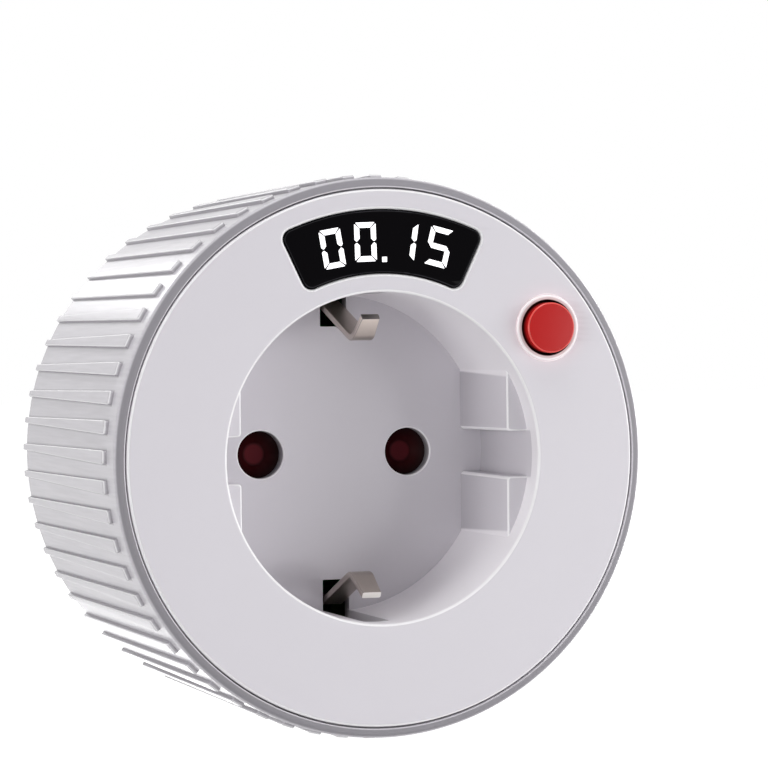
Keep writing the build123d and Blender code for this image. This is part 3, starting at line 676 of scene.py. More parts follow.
def round_array_tree():
    """Geometry node tree that sets turned copies of a form round the socket's axis."""
    tree = bpy.data.node_groups.new("round_array", "GeometryNodeTree")
    for label, kind in (
        ("Geometry", "Geometry"),
        ("Form", "Object"),
        ("Count", "Int"),
        ("First azimuth", "Float"),
        ("Step", "Float"),
        ("Finish", "Material"),
    ):
        tree.interface.new_socket(name=label, in_out="INPUT", socket_type="NodeSocket" + kind)
    tree.interface.new_socket(name="Geometry", in_out="OUTPUT", socket_type="NodeSocketGeometry")
    start, end = add_node(tree, "NodeGroupInput"), add_node(tree, "NodeGroupOutput")
    azimuth = fetch(tree, "GeometryNodeInputIndex", "Index") * Wire(start, "Step")
    turn = (azimuth + Wire(start, "First azimuth")) * (-math.pi / 180.0)
    copies = fetch(tree, "GeometryNodeInstanceOnPoints", "Instances", {
        "Points": fetch(tree, "GeometryNodePoints", "Points", {"Count": Wire(start, "Count")}),
        "Instance": fetch(tree, "GeometryNodeObjectInfo", "Geometry", {"Object": Wire(start, "Form")}),
        "Rotation": fetch(tree, "ShaderNodeCombineXYZ", "Vector", {"Y": turn}),
    })
    join = add_node(tree, "GeometryNodeJoinGeometry", {"Geometry": Wire(start, "Geometry")})
    feed(join, {"Geometry": copies})
    values = {"Geometry": Wire(join, "Geometry")}
    values = {
        "Geometry": fetch(tree, "GeometryNodeRealizeInstances", "Geometry", values),
        "Material": Wire(start, "Finish"),
    }
    feed(end, {"Geometry": fetch(tree, "GeometryNodeSetMaterial", "Geometry", values)})
    return tree


moulded_grain = moulded_grain_group()
drawn_metal = drawn_metal_group()
edge_highlight = edge_highlight_group()
grip_rib = grip_rib_group()
round_array = round_array_tree()


# ---------------------------------------------------------------- materials
def blank_material(name):
    """New material, its node tree and its shader."""
    material = bpy.data.materials.new(name)
    material.use_nodes = True
    return material, material.node_tree, material.node_tree.nodes["Principled BSDF"]


def finished_material(name, group, colours, values, bump, distance):
    """Material with a finish group: itself, its node tree, its shader and its plain colour."""
    material, tree, shader = blank_material(name)
    for label, colour in colours.items():
        values[label] = (*colour, 1.0)
    group = add_node(tree, "ShaderNodeGroup", values, node_tree=group)
    values = {"Strength": bump, "Distance": distance * MM, "Height": Wire(group, "Height")}
    plain = Wire(group, "Colour")
    feed(shader, {
        "Base Color": plain,
        "Roughness": Wire(group, "Roughness"),
        "Normal": fetch(tree, "ShaderNodeBump", "Normal", values),
    })
    return material, tree, shader, plain


def plastic(name, colour, roughness, spread, mottle, grains, bump):
    """Moulded plastic of one colour."""
    values = {
        "Grains per metre": grains,
        "Mottle": mottle,
        "Roughness": roughness,
        "Roughness spread": spread,
    }
    return finished_material(name, moulded_grain, {"Colour": colour}, values, bump, MOULDED_BUMP)


def metal(name, colour, tarnish, roughness, spread, stretch, bump=0.1):
    """Drawn or rolled metal."""
    values = {"Stretch": stretch, "Roughness": roughness, "Roughness spread": spread}
    colours = {"Colour": colour, "Tarnish": tarnish}
    made = finished_material(name, drawn_metal, colours, values, bump, ROLLED_BUMP)
    feed(made[2], {"Metallic": 1.0})
    return made


def edge_highlight_mask(tree, flat=0.985, wall=0.2, blend=0.05):
    """Broken-edge mask for a painted highlight, placed in a material."""
    values = {"Flat": flat, "Wall": wall, "Blend": blend}
    return fetch(tree, "ShaderNodeGroup", "Edge", values, node_tree=edge_highlight)


def wall_mask(tree):
    """Mask of the surfaces that stand along the axis."""
    return mapped(abs(axes(tree, "Normal")[1]), 0.3, 0.6, 1.0, 0.0)


def face_plastic():
    """Light grey plastic of the face: painted highlights on its edges, lighter painted walls, and a painted
    glow of the collar's light round the button.
    """
    colour = (0.717, 0.692, 0.74)
    material, tree, shader, plain = plastic("face_plastic", colour, 0.42, 0.08, 0.02, 7000.0, 0.1)
    # Painted light: walls along the axis lighter than the flats.
    colour = blended(wall_mask(tree), plain, PAINTED_WALL_LIGHT)
    # Painted glow of the collar's light on the face round the button.
    values = {0: coordinates(tree), 1: at_depth(BUTTON_PLACE, 0.0)}
    away = fetch(tree, "ShaderNodeVectorMath", "Value", values, operation="DISTANCE")
    level = reckon("POWER", below(away, COLLAR_RADIUS, COLLAR_RADIUS + 2.4), 2.0)
    # Painted highlights on the broken edges.
    feed(shader, {
        "Base Color": blended(edge_highlight_mask(tree) * 0.95, colour, PAINTED_EDGE_HIGHLIGHT),
        "Emission Color": dimmed((1.0, 0.30, 0.36, 1.0), level),
        "Emission Strength": 0.07,
    })
    return material


def rim_plastic():
    """The ring's plastic: a greyer front flat, painted shade in the creases round the ribs and painted
    highlights on their edges.
    """
    colour = (0.70, 0.675, 0.722)
    material, tree, shader, plain = plastic("rim_plastic", colour, 0.24, 0.08, 0.02, 7000.0, 0.08)
    ribs = add_node(tree, "ShaderNodeGroup", node_tree=grip_rib)
    radius = Wire(ribs, "Radius")
    drawn = mapped(streaks(tree, (2600.0, 70.0, 2600.0)), 0.3, 0.7, 0.94, 1.05)
    lip = FRONT + RING_FRONT
    flat = below(radius, RING_FRONT_RADIUS - 0.32, RING_FRONT_RADIUS - 0.07)
    inner = above(radius, RING_MOUTH + 0.08, RING_MOUTH + 0.18)
    front = below(axes(tree)[1], lip + 0.5, lip + 0.8)
    band = flat * inner * front
    colour = blended(band, dimmed(plain, drawn), (0.30, 0.287, 0.315))
    # Painted shade in the creases round the ribs' feet.
    colour = blended(Wire(ribs, "Crease") * 0.55, colour, (0.20, 0.19, 0.21))
    feed(shader, {
        # Painted highlights on the ribs' broken edges.
        "Base Color": blended(Wire(ribs, "Edge"), colour, (0.97, 0.96, 0.98)),
        "Roughness": mapped(band, 0.0, 1.0, 0.24, 0.75),
    })
    return material


def well_plastic():
    """Plastic of the socket well: painted highlights on its edges and the blocks' corners, a lighter painted
    cup wall, and painted shade that darkens the walls towards the floor and fills the bores.
    """
    colour = (0.71, 0.685, 0.73)
    material, tree, shader, plain = plastic("well_plastic", colour, 0.4, 0.08, 0.02, 6500.0, 0.1)
    x, y, z = axes(tree)
    normal_x, _, normal_z = axes(tree, "Normal")
    floor = FRONT + WELL_DEPTH
    radius, across, height = reach(x, z), abs(x), abs(z)
    corner = mapped(abs(normal_x * normal_z), 0.12, 0.3, 0.0, 1.0)
    inside = below(radius, 17.2, 17.4)
    block = below(y, floor - 0.2, floor - 0.1)
    foot = above(y, FRONT + GUIDE_FRONT, floor)
    # Painted shade: walls along the axis darker towards the floor.
    grey = blended(foot, (0.72, 0.695, 0.735), (0.52, 0.50, 0.535))
    cup = above(radius, 19.08, 19.2)
    clear = above(height, 2.7, 2.9)
    # Painted light: the cup's wall lighter, outside the slots between the blocks.
    grey = blended(cup * clear, grey, PAINTED_WALL_LIGHT)
    bore = below(reach(across, z, (PIN_PLACE, 0.0)), PIN_HOLE + 0.05, PIN_HOLE + 0.2)
    inner = below(across, POCKET_HALF + 0.02, POCKET_HALF + 0.1)
    beyond = above(height, POCKET_INNER - 0.1, POCKET_INNER)
    sunk_shade = reckon("MAXIMUM", bore, inner * beyond) * above(y, floor + 0.1, floor + 1.1)
    # Painted shade in the pin bores and the clip pockets behind the floor.
    grey = blended(sunk_shade, grey, (0.26, 0.25, 0.26))
    shade = blended(wall_mask(tree), plain, grey)
    # Painted highlights on the broken edges and on the blocks' corner fillets.
    painted_highlight = reckon("MAXIMUM", edge_highlight_mask(tree), corner * inside * block) * 0.92
    feed(shader, {"Base Color": blended(painted_highlight, shade, PAINTED_EDGE_HIGHLIGHT)})
    return material


def housing_plastic():
    """Plastic of the rear housing and the plug."""
    return plastic("housing_plastic", (0.67, 0.645, 0.69), 0.5, 0.1, 0.035, 5000.0, 0.2)[0]


def lens_plastic():
    """Near-black gloss of the display window, with a painted grey highlight on its bevelled edge."""
    colour = (0.0022, 0.0018, 0.0026)
    material, tree, shader, plain = plastic("lens_plastic", colour, 0.1, 0.04, 0.2, 2500.0, 0.01)
    # Painted highlight on the bevelled edge.
    colour = blended(edge_highlight_mask(tree, 0.985, 0.84, 0.012), plain, (0.045, 0.044, 0.05))
    feed(shader, {"Base Color": colour, "Specular IOR Level": 0.03})
    return material


def lit_segment():
    """White light of the display's digits."""
    material, tree, shader = blank_material("lit_segment")
    level = mapped(noise(tree, 900.0, 2.0), 0.3, 0.7, 0.93, 1.0)
    feed(shader, {
        "Base Color": (0.8, 0.8, 0.82, 1.0),
        "Roughness": 0.6,
        "Emission Color": dimmed((1.0, 0.985, 1.0, 1.0), level),
        "Emission Strength": 0.9,
    })
    return material


def button_plastic():
    """Red plastic of the button: painted highlights on its broken edge and rim, and painted shade where it
    dips in the collar.
    """
    colour = (0.50, 0.006, 0.006)
    material, tree, shader, plain = plastic("button_plastic", colour, 0.24, 0.06, 0.05, 6000.0, 0.06)
    # Painted highlights: a lighter chamfer and a pale line at its inner edge.
    colour = blended(edge_highlight_mask(tree, 0.86, 0.35, 0.08), plain, (0.88, 0.09, 0.075))
    colour = blended(edge_highlight_mask(tree, 0.985, 0.84, 0.04) * 0.5, colour, (1.0, 0.42, 0.38))
    # Painted shade where the cap dips into the collar.
    top = (FRONT - CAP_PROUD) * MM
    sunk_shade = mapped(axes(tree)[1], top + 0.45 * MM, top + 1.45 * MM, 0.0, 0.93)
    feed(shader, {
        "Base Color": blended(sunk_shade, colour, (0.05, 0.0008, 0.0008)),
        "Roughness": mapped(sunk_shade, 0.0, 0.93, 0.24, 0.9),
        "Specular IOR Level": 0.2,
    })
    return material


def glowing_collar():
    """Milky collar, lit from below, with a painted highlight on its outer edge and painted shade in its bore.
    """
    colour = (0.66, 0.56, 0.57)
    material, tree, shader, plain = plastic("glowing_collar", colour, 0.35, 0.05, 0.03, 6000.0, 0.05)
    x, _, z = axes(tree)
    radius = reach(x, z, BUTTON_PLACE)
    # Painted highlight on the outer edge.
    colour = blended(above(radius, 3.58, 3.74), plain, (0.98, 0.95, 0.97))
    # Painted shade on the bore's wall.
    bore = below(radius, COLLAR_BORE + 0.02, COLLAR_BORE + 0.1)
    level = mapped(noise(tree, 400.0, 2.0), 0.3, 0.7, 0.85, 1.0) * (1.0 - bore)
    feed(shader, {
        "Base Color": blended(bore, colour, (0.03, 0.002, 0.002)),
        "Specular IOR Level": 0.3,
        "Emission Color": dimmed((1.0, 0.74, 0.76, 1.0), level),
        "Emission Strength": 0.10,
    })
    return material


def shutter_plastic():
    """Dark red plastic of the child-protection shutter: painted shade darker towards each hole's edge, redder
    on its raised rounds.
    """
    colour = (0.030, 0.0018, 0.0030)
    material, tree, shader, plain = plastic("shutter_plastic", colour, 0.38, 0.08, 0.1, 5000.0, 0.1)
    x, _, z = axes(tree)
    away = reach(abs(x), z, (PIN_PLACE, 0.0))
    # Painted shade: darker away from each pin hole's centre.
    dark = mapped(away, 1.7 * MM, 2.9 * MM, 0.0, 0.85)
    colour = blended(dark, plain, (0.004, 0.0006, 0.0008))
    colour = blended(below(away, 1.05, 1.35), colour, (0.098, 0.009, 0.014))
    feed(shader, {"Base Color": colour, "Specular IOR Level": 0.05})
    return material


def clip_nickel():
    """Nickel-plated strip of the earth clips: a painted highlight near the tips, painted shade on the lower
    clip and on the faces turned to the well's middle, and the cut ends painted bright on the lower clip and
    dark on the upper one.
    """
    stretch = (4000.0, 300.0, 300.0)
    made = metal("clip_nickel", (0.66, 0.59, 0.53), (0.54, 0.47, 0.42), 0.3, 0.1, stretch, 0.03)
    material, tree, shader, plain = made
    _, y, z = axes(tree)
    _, normal_y, normal_z = axes(tree, "Normal")
    upper = above(z, -1.0, 1.0)
    lower = 1.0 - upper
    # Painted shade: the lower clip darker.
    colour = blended(lower * 0.38, plain, (0.26, 0.225, 0.20))
    # Painted highlight near the tips, strongest on the upper clip.
    bright = below(y, FRONT + 4.4, FRONT + 6.6) * mapped(upper, 0.0, 1.0, 0.3, 1.0)
    colour = blended(bright, colour, (0.98, 0.89, 0.79))
    lean = normal_z * z
    # Painted shade on the faces turned towards the well's middle.
    inward_shade = below(lean, -5.0, -2.0) * mapped(normal_y, -0.68, -0.45, 0.0, 0.75)
    colour = blended(inward_shade, colour, (0.36, 0.32, 0.29))
    # Painted light and shade on the cut ends: bright on the lower clip, dark on the upper one.
    ends = mapped(normal_y, -0.66, -0.58, 1.0, 0.0) * above(lean, 2.0, 5.0)
    cut = blended(upper, (0.98, 0.95, 0.90), (0.34, 0.315, 0.295))
    feed(shader, {
        "Base Color": blended(ends, colour, cut),
        "Metallic": mapped(ends * lower, 0.0, 1.0, 0.9, 0.2),
    })
    return material


def pin_nickel():
    """Nickel plating of the plug's pins."""
    stretch = (600.0, 7000.0, 600.0)
    return metal("pin_nickel", (0.46, 0.445, 0.42), (0.38, 0.355, 0.32), 0.26, 0.12, stretch)[0]


def contact_brass():
    """Brass of the contacts, the post and the shaft."""
    stretch = (3000.0, 500.0, 3000.0)
    return metal("contact_brass", (0.80, 0.58, 0.26), (0.50, 0.33, 0.14), 0.3, 0.15, stretch)[0]


def screw_steel():
    """Zinc-plated steel of the screws."""
    stretch = (2500.0, 900.0, 2500.0)
    return metal("screw_steel", (0.62, 0.63, 0.65), (0.42, 0.43, 0.46), 0.3, 0.12, stretch)[0]


def spring_steel():
    """Steel of the springs."""
    stretch = (4000.0, 4000.0, 600.0)
    return metal("spring_steel", (0.50, 0.50, 0.52), (0.30, 0.28, 0.26), 0.28, 0.12, stretch)[0]


def shield_metal():
    """Tinned shield of the radio module."""
    stretch = (3000.0, 600.0, 600.0)
    return metal("shield_metal", (0.70, 0.70, 0.70), (0.55, 0.55, 0.56), 0.35, 0.1, stretch)[0]


def can_sleeve():
    """Black shrunk sleeve of the smoothing capacitor's can."""
    return plastic("can_sleeve", (0.012, 0.012, 0.016), 0.32, 0.08, 0.2, 3500.0, 0.15)[0]


def inner_plastic():
    """Black plastic of the retainer, the encoder and the switch."""
    return plastic("inner_plastic", (0.012, 0.012, 0.013), 0.5, 0.1, 0.15, 5000.0, 0.2)[0]


def carrier_plastic():
    """Heat-proof plastic of the contact carrier."""
    return plastic("carrier_plastic", (0.42, 0.40, 0.34), 0.55, 0.1, 0.08, 4500.0, 0.25)[0]


def gear_plastic():
    """White slippery plastic of the pinion."""
    return plastic("gear_plastic", (0.78, 0.77, 0.72), 0.3, 0.08, 0.04, 5000.0, 0.1)[0]


def display_plastic():
    """Dark epoxy of the display module."""
    return plastic("display_plastic", (0.03, 0.03, 0.032), 0.45, 0.1, 0.2, 4000.0, 0.2)[0]


def board_laminate():
    """Green lacquered board with faint tracks."""
    green = (0.02, 0.16, 0.06)
    material, tree, _, plain = plastic("board_laminate", green, 0.35, 0.08, 0.15, 3500.0, 0.1)
    values = {"Vector": coordinates(tree), "Rotation": (math.radians(90), 0.0, 0.0)}
    feed(plain.node, {"Colour": fetch(tree, "ShaderNodeTexBrick", "Color", {
        "Vector": fetch(tree, "ShaderNodeMapping", "Vector", values),
        "Scale": 420.0,
        "Mortar Size": 0.04,
        "Color1": (*green, 1.0),
        "Color2": (0.025, 0.20, 0.075, 1.0),
        "Mortar": (0.05, 0.28, 0.11, 1.0),
    })})
    return material


def relay_plastic():
    """Blue case of the relay."""
    return plastic("relay_plastic", (0.02, 0.10, 0.42), 0.38, 0.08, 0.08, 5000.0, 0.15)[0]


def film_case():
    """Yellow case of the mains capacitor."""
    return plastic("film_case", (0.66, 0.47, 0.04), 0.42, 0.08, 0.06, 5000.0, 0.15)[0]


def disc_lacquer():
    """Blue lacquer of the varistor."""
    return plastic("disc_lacquer", (0.03, 0.16, 0.50), 0.3, 0.1, 0.1, 2500.0, 0.3)[0]


def fuse_body():
    """Green epoxy of the fuse."""
    return plastic("fuse_body", (0.022, 0.064, 0.013), 0.35, 0.1, 0.15, 4000.0, 0.2)[0]


def ferrite():
    """Dull black ferrite of the choke."""
    return plastic("ferrite", (0.045, 0.043, 0.045), 0.65, 0.15, 0.3, 3000.0, 0.4)[0]


def flat_cable():
    """Pale insulation of the flat link."""
    return plastic("flat_cable", (0.62, 0.60, 0.56), 0.5, 0.1, 0.05, 3500.0, 0.2)[0]


materials = {
    "shell": face_plastic(),
    "rim": rim_plastic(),
    "well": well_plastic(),
    "housing": housing_plastic(),
    "lens": lens_plastic(),
    "display": display_plastic(),
    "digits": lit_segment(),
    "button": button_plastic(),
    "halo": glowing_collar(),
    "shutter": shutter_plastic(),
    "inner_plastic": inner_plastic(),
    "carrier": carrier_plastic(),
    "gear": gear_plastic(),
    "spring_steel": spring_steel(),
    "nickel": clip_nickel(),
    "pin_nickel": pin_nickel(),
    "brass": contact_brass(),
    "screw_steel": screw_steel(),
    "board": board_laminate(),
    "relay_case": relay_plastic(),
    "film_case": film_case(),
    "can": can_sleeve(),
    "disc_blue": disc_lacquer(),
    "fuse_body": fuse_body(),
    "ferrite": ferrite(),
    "shield": shield_metal(),
    "cable": flat_cable(),
}


# ---------------------------------------------------------------- face
def add_post(shape, post, azimuth, segments):
    """Post behind the face, with a blind screw hole from its end."""
    radius, end, bore, bore_front = post
    root = PLATE_THICKNESS - 0.1
    profile = [(radius, root), (radius, end), (bore, end), (bore, bore_front), (0.0, bore_front), (0.0, root)]
    add_turned(shape, profile, polar(SCREW_PLACE, azimuth), segments)


def make_face_plate():
    """Front disc with its rounded rim, well mouth, display recess and button hole."""
    shape = bmesh.new()
    recess = sector(LENS_INNER - SEAM, LENS_OUTER + SEAM, LENS_HALF_ANGLE + SEAM_ANGLE, LENS_CORNER)
    add_plate(shape, [
        (circle(FACE_RADIUS, 256), RIM_ROUNDING, 0.1),
        (circle(WELL_RADIUS), MOUTH_ROUNDING, 0.0),
        (recess, RECESS_ROUNDING, 0.0),
        (circle(COLLAR_RADIUS + SEAM, 96, BUTTON_PLACE), 0.12, 0.0),
    ], 0.0, PLATE_THICKNESS)
    ledge = sector(LENS_INNER + LEDGE, LENS_OUTER - LEDGE, LENS_HALF_ANGLE - LEDGE_ANGLE, LENS_CORNER)
    rims = [(inset(recess, -LEDGE_OVERLAP), 0.0, 0.0), (ledge, 0.0, 0.0)]
    add_plate(shape, rims, LENS_THICKNESS, PLATE_THICKNESS - 0.01)
    for azimuth in CASE_POST_AZIMUTHS:
        add_post(shape, CASE_POST, azimuth, 32)
    for azimuth in BOARD_POST_AZIMUTHS:
        add_post(shape, BOARD_POST, azimuth, 24)
    piece("face_plate_skin", shape, "shell", "face_plate")


def make_lens():
    """Display window in its recess, with a bevelled front edge."""
    shape = bmesh.new()
    outline = sector(LENS_INNER, LENS_OUTER, LENS_HALF_ANGLE, LENS_CORNER)
    add_plate(shape, [(outline, LENS_BEVEL, 0.0)], 0.0, LENS_THICKNESS, None, 3)
    piece("display_window", shape, "lens", "display_lens", sharp=20.0)


def segment_outline(letter, width):
    """Outline of one of a digit's seven bars, about the digit's centre."""
    w, h, s = width / 2, DIGIT_HEIGHT / 2, STROKE
    cut, hair, nip = 0.2, 0.06, 0.09
    bar = [
        (-w + 0.5 * cut + hair, h - 0.5 * cut + hair), (-w + cut + hair, h), (w - cut - hair, h),
        (w - 0.5 * cut - hair, h - 0.5 * cut + hair), (w - s - hair, h - s), (-w + s + hair, h - s),
    ]
    post = [
        (-w + 0.5 * cut - hair, h - 0.5 * cut - hair), (-w, h - cut - hair), (-w, nip + 0.3 * s),
        (-w + 0.3 * s, nip), (-w + 0.5 * s, nip), (-w + s, nip + 0.5 * s), (-w + s, h - s - hair),
    ]
    middle = [
        (-w + 0.4 * s, 0.0), (-w + 0.9 * s, s / 2), (w - 0.9 * s, s / 2), (w - 0.4 * s, 0.0),
        (w - 0.9 * s, -s / 2), (-w + 0.9 * s, -s / 2),
    ]
    if letter == "g":
        return middle
    source = bar if letter in "ad" else post
    mirror_x = -1.0 if letter in "bc" else 1.0
    mirror_z = -1.0 if letter in "cde" else 1.0
    return [(x * mirror_x, z * mirror_z) for x, z in source]


def make_digits():
    """Lit seven-bar digits and their point, a hair proud of the display window."""
    shape = bmesh.new()
    outlines = []
    for letters, centre_x, centre_z, turn, width in DIGITS:
        for letter in letters:
            points = placed(segment_outline(letter, width), (centre_x, centre_z), turn)
            if signed_area(points) < 0:
                points.reverse()
            outlines.append(rounded(points, 0.03, 2))
    outlines.append(rounded(POINT, 0.06, 3))
    for outline in outlines:
        add_plate(shape, [(outline, 0.0, 0.0)], -DIGIT_PROUD, DIGIT_REAR)
    piece("display_digits", shape, "display", finish="digits")


def make_light_collar():
    """Milky collar round the button."""
    shape = bmesh.new()
    profile = rounded([
        (COLLAR_BORE, -COLLAR_PROUD), (COLLAR_RADIUS, -COLLAR_PROUD),
        (COLLAR_RADIUS, PLATE_THICKNESS), (COLLAR_FLANGE, PLATE_THICKNESS),
        (COLLAR_FLANGE, COLLAR_FLANGE_REAR), (COLLAR_RADIUS, COLLAR_FLANGE_REAR),
        (COLLAR_RADIUS, COLLAR_REAR), (COLLAR_BORE, COLLAR_REAR),
    ], [0.12, 0.2] + [0] * 6, 4)
    add_turned(shape, profile, BUTTON_PLACE, 128)
    piece("light_collar", shape, "halo", "button_light_ring")


def make_button_cap():
    """Red cap with a broken rim."""
    shape = bmesh.new()
    profile = rounded([
        (0.0, -CAP_PROUD), (CAP_RADIUS - CAP_CHAMFER, -CAP_PROUD), (CAP_RADIUS, CAP_CHAMFER - CAP_PROUD),
        (CAP_RADIUS, CAP_FLANGE_FRONT), (CAP_FLANGE, CAP_FLANGE_FRONT), (CAP_FLANGE, CAP_REAR),
        (CAP_BORE, CAP_REAR), (CAP_BORE, CAP_CROWN_REAR), (CAP_STEM, CAP_CROWN_REAR),
        (CAP_STEM, CAP_REAR), (0.0, CAP_REAR),
    ], [0, 0.09, 0.09] + [0] * 8, 6)
    add_turned(shape, profile, BUTTON_PLACE, 128)
    piece("button_cap_skin", shape, "button", "button_cap", "button")


# ---------------------------------------------------------------- socket well
def guide_outline(flat, slot):
    """Outline of the upper right guide block, with a fillet at its inner corner."""
    far = WELL_RADIUS + GUIDE_BED
    points = [(flat, slot), (math.sqrt(far * far - slot * slot), slot)]
    first = math.degrees(math.asin(slot / far))
    last = math.degrees(math.acos(flat / far))
    points += [polar(far, first + (last - first) * step / 8) for step in range(1, 9)]
    return rounded(points, [GUIDE_FILLET] + [0.0] * (len(points) - 1), 4)


def add_guide_block(shape, side, rise):
    """One of the four drafted guide blocks."""
    front, rear = (
        [(x * side, z * rise) for x, z in guide_outline(flat, slot)]
        for flat, slot in zip(GUIDE_FLATS, GUIDE_SLOTS)
    )
    add_plate(shape, [(front, GUIDE_ROUNDING, 0.0)], GUIDE_FRONT, WELL_DEPTH + 0.1, [rear])


def clip_slotted(mesh):
    """Mesh with the two slots cut that give the earth clips room to spring."""
    carrier = new_object("unslotted", mesh)
    shape = bmesh.new()
    half = POCKET_HALF - 0.01
    low, high = CLIP_SLOT
    for rise in (-1.0, 1.0):
        slot = [(-half, low), (half, low), (half, high), (-half, high)]
        outline = [(x * rise, z * rise) for x, z in slot]
        add_plate(shape, [(outline, 0.0, 0.0)], CLIP_SLOT_FRONT, FLOOR_REAR + 0.5)
    cutter = new_object("clip_slots", finished_mesh("clip_slots", shape))
    cut = carrier.modifiers.new("slots", "BOOLEAN")
    adjusted(cut, operation="DIFFERENCE", solver="EXACT", object=cutter)
    return applied(carrier, cutter)


def cup_wall():
    """Turned wall of the cup."""
    shape = bmesh.new()
    profile = rounded([
        (WELL_RADIUS, PLATE_THICKNESS), (WELL_OUTER, PLATE_THICKNESS), (WELL_OUTER, FLOOR_REAR),
        (WELL_FLOOR_RADIUS + 0.3, FLOOR_REAR), (WELL_FLOOR_RADIUS, WELL_DEPTH), (WELL_RADIUS, GUIDE_FRONT),
    ], [0, 0.2, 0.3, 0, 0, 0])
    add_turned(shape, profile, segments=256)
    return clip_slotted(finished_mesh("cup_wall", shape))


def cup_floor():
    """Floor of the cup with its pin holes and earth clip pockets."""
    shape = bmesh.new()
    pocket = rounded([
        (-POCKET_HALF, POCKET_INNER), (POCKET_HALF, POCKET_INNER),
        (POCKET_HALF, POCKET_OUTER), (-POCKET_HALF, POCKET_OUTER),
    ], [0.15, 0.15, 0.04, 0.04], 3)
    add_plate(shape, [
        (circle(WELL_FLOOR_RADIUS + 0.28, 256), 0.0, 0.0),
        (circle(PIN_HOLE, 96, (-PIN_PLACE, 0.0)), PIN_HOLE_ROUNDING, 0.0),
        (circle(PIN_HOLE, 96, (PIN_PLACE, 0.0)), PIN_HOLE_ROUNDING, 0.0),
        (pocket, 0.05, 0.0),
        ([(-x, -z) for x, z in pocket], 0.05, 0.0),
    ], WELL_DEPTH, FLOOR_REAR)
    return clip_slotted(finished_mesh("cup_floor", shape))


def make_socket_well():
    """Cup with its floor, its guide blocks and the skirt round the shutter."""
    wall, floor = cup_wall(), cup_floor()
    shape = bmesh.new()
    shape.from_mesh(wall)
    shape.from_mesh(floor)
    for side in (-1.0, 1.0):
        for rise in (-1.0, 1.0):
            add_guide_block(shape, side, rise)
    add_turned(shape, [
        (SKIRT_INNER, FLOOR_REAR), (SKIRT_OUTER, FLOOR_REAR),
        (SKIRT_OUTER, SKIRT_REAR), (SKIRT_INNER, SKIRT_REAR),
    ], segments=96)
    piece("socket_well_skin", shape, "well", "socket_well")


def make_earth_clips():
    """One bent strip whose two ends are the well's earth clips, with its pad."""
    shape = bmesh.new()
    leg = [(CLIP_LEG, FLOOR_REAR), (CLIP_LEG, CLIP_BAR)]
    points = [CLIP_TIP, CLIP_KNEE] + leg + mirrored([LOWER_CLIP_TIP, LOWER_CLIP_KNEE] + leg)
    path = bent_path(points, CLIP_BENDS + CLIP_BENDS[::-1], 10)
    widths = []
    for spot in path:
        share = (spot.y / MM - FRONT - CLIP_TIP[1]) / CLIP_TAPER
        widths.append(CLIP_WIDTHS[0] + CLIP_WIDTHS[1] * min(1.0, max(0.0, share)))
    add_swept(shape, path, widths, CLIP_THICKNESS, 0.14)
    near = CLIP_BAR - CLIP_THICKNESS / 2 + 0.02
    far = CLIP_BAR + CLIP_THICKNESS / 2 - 0.02
    pad = [(PAD_HOLE, near), (PAD_RADIUS, near), (PAD_RADIUS, far), (PAD_HOLE, far)]
    add_turned(shape, pad, segments=64)
    piece("earth_clips", shape, "nickel", "earth_bracket")


# ---------------------------------------------------------------- setting ring
def rib_form():
    """Tapering grip rib with chamfered edges, lying at azimuth 0."""
    shape = bmesh.new()
    rings = []
    for depth, drop in (
        (RIB_FRONT, 0.38),
        (RIB_FRONT + 0.14, 0.16),
        (RIB_FRONT + 0.42, 0.0),
        (RING_REAR - 0.15, 0.0),
        (RING_REAR, 0.15),
    ):
        share = (depth - RING_FRONT) / (RING_REAR - RING_FRONT)
        base = RING_FRONT_RADIUS + (RING_REAR_RADIUS - RING_FRONT_RADIUS) * share
        along = (depth - RIB_FRONT) / (RING_REAR - RIB_FRONT)
        half = (RIB_WIDTHS[0] + (RIB_WIDTHS[1] - RIB_WIDTHS[0]) * along) / 2 - 0.5 * drop
        top = base + RIB_HEIGHTS[0] + (RIB_HEIGHTS[1] - RIB_HEIGHTS[0]) * along - drop
        low = base - RIB_FOOT
        corners = [(low, -half), (top, -half), (top, half), (low, half)]
        section = rounded(corners, [0, RIB_ROUNDING, RIB_ROUNDING, 0], 3)
        rings.append(add_ring(shape, section, depth))
    add_capped(shape, rings)
    return finished_mesh("rib_form", shape, 40.0)


def tooth_form():
    """Tooth of the ring's inner gear, at azimuth 0."""
    shape = bmesh.new()
    other = [(radius, -half) for radius, half in reversed(TOOTH_FLANK)]
    add_plate(shape, [(other[-1:] + TOOTH_FLANK + other[:-1], 0.0, 0.0)], GEAR_FRONT, GEAR_REAR)
    return finished_mesh("tooth_form", shape)


def sleeve_form():
    """The ring's tapered sleeve, without its ribs and teeth."""
    shape = bmesh.new()
    profile = rounded([
        (RING_MOUTH, RING_FRONT), (RING_LIP, RING_FRONT + 0.2),
        (RING_FRONT_RADIUS - 0.02, RING_FRONT + 0.75), (RING_REAR_RADIUS, RING_REAR),
        (RING_REAR_RADIUS - RING_WALL, RING_REAR), (SLEEVE_STEP, GEAR_REAR),
        (GEAR_ROOT, GEAR_REAR), (GEAR_ROOT, GEAR_FRONT), (RING_MOUTH, GEAR_FRONT),
    ], [0.12, 0.5, 0.5, 0.3, 0.2, 0, 0, 0, 0], 6)
    add_turned(shape, profile, segments=360)
    return finished_mesh("sleeve_form", shape)


def arrayed(base, form, count, first, step, finish):
    """Plain mesh of a base with copies of a form round the axis."""
    carrier = new_object("array_base", base)
    master = new_object("array_form", form)
    modifier = carrier.modifiers.new("array", "NODES")
    modifier.node_group = round_array
    values = {
        "Form": master,
        "Count": count,
        "First azimuth": first,
        "Step": step,
        "Finish": materials[finish],
    }
    for item in round_array.interface.items_tree:
        if item.in_out == "INPUT" and item.name in values:
            modifier[item.identifier] = values[item.name]
    return applied(carrier, master)


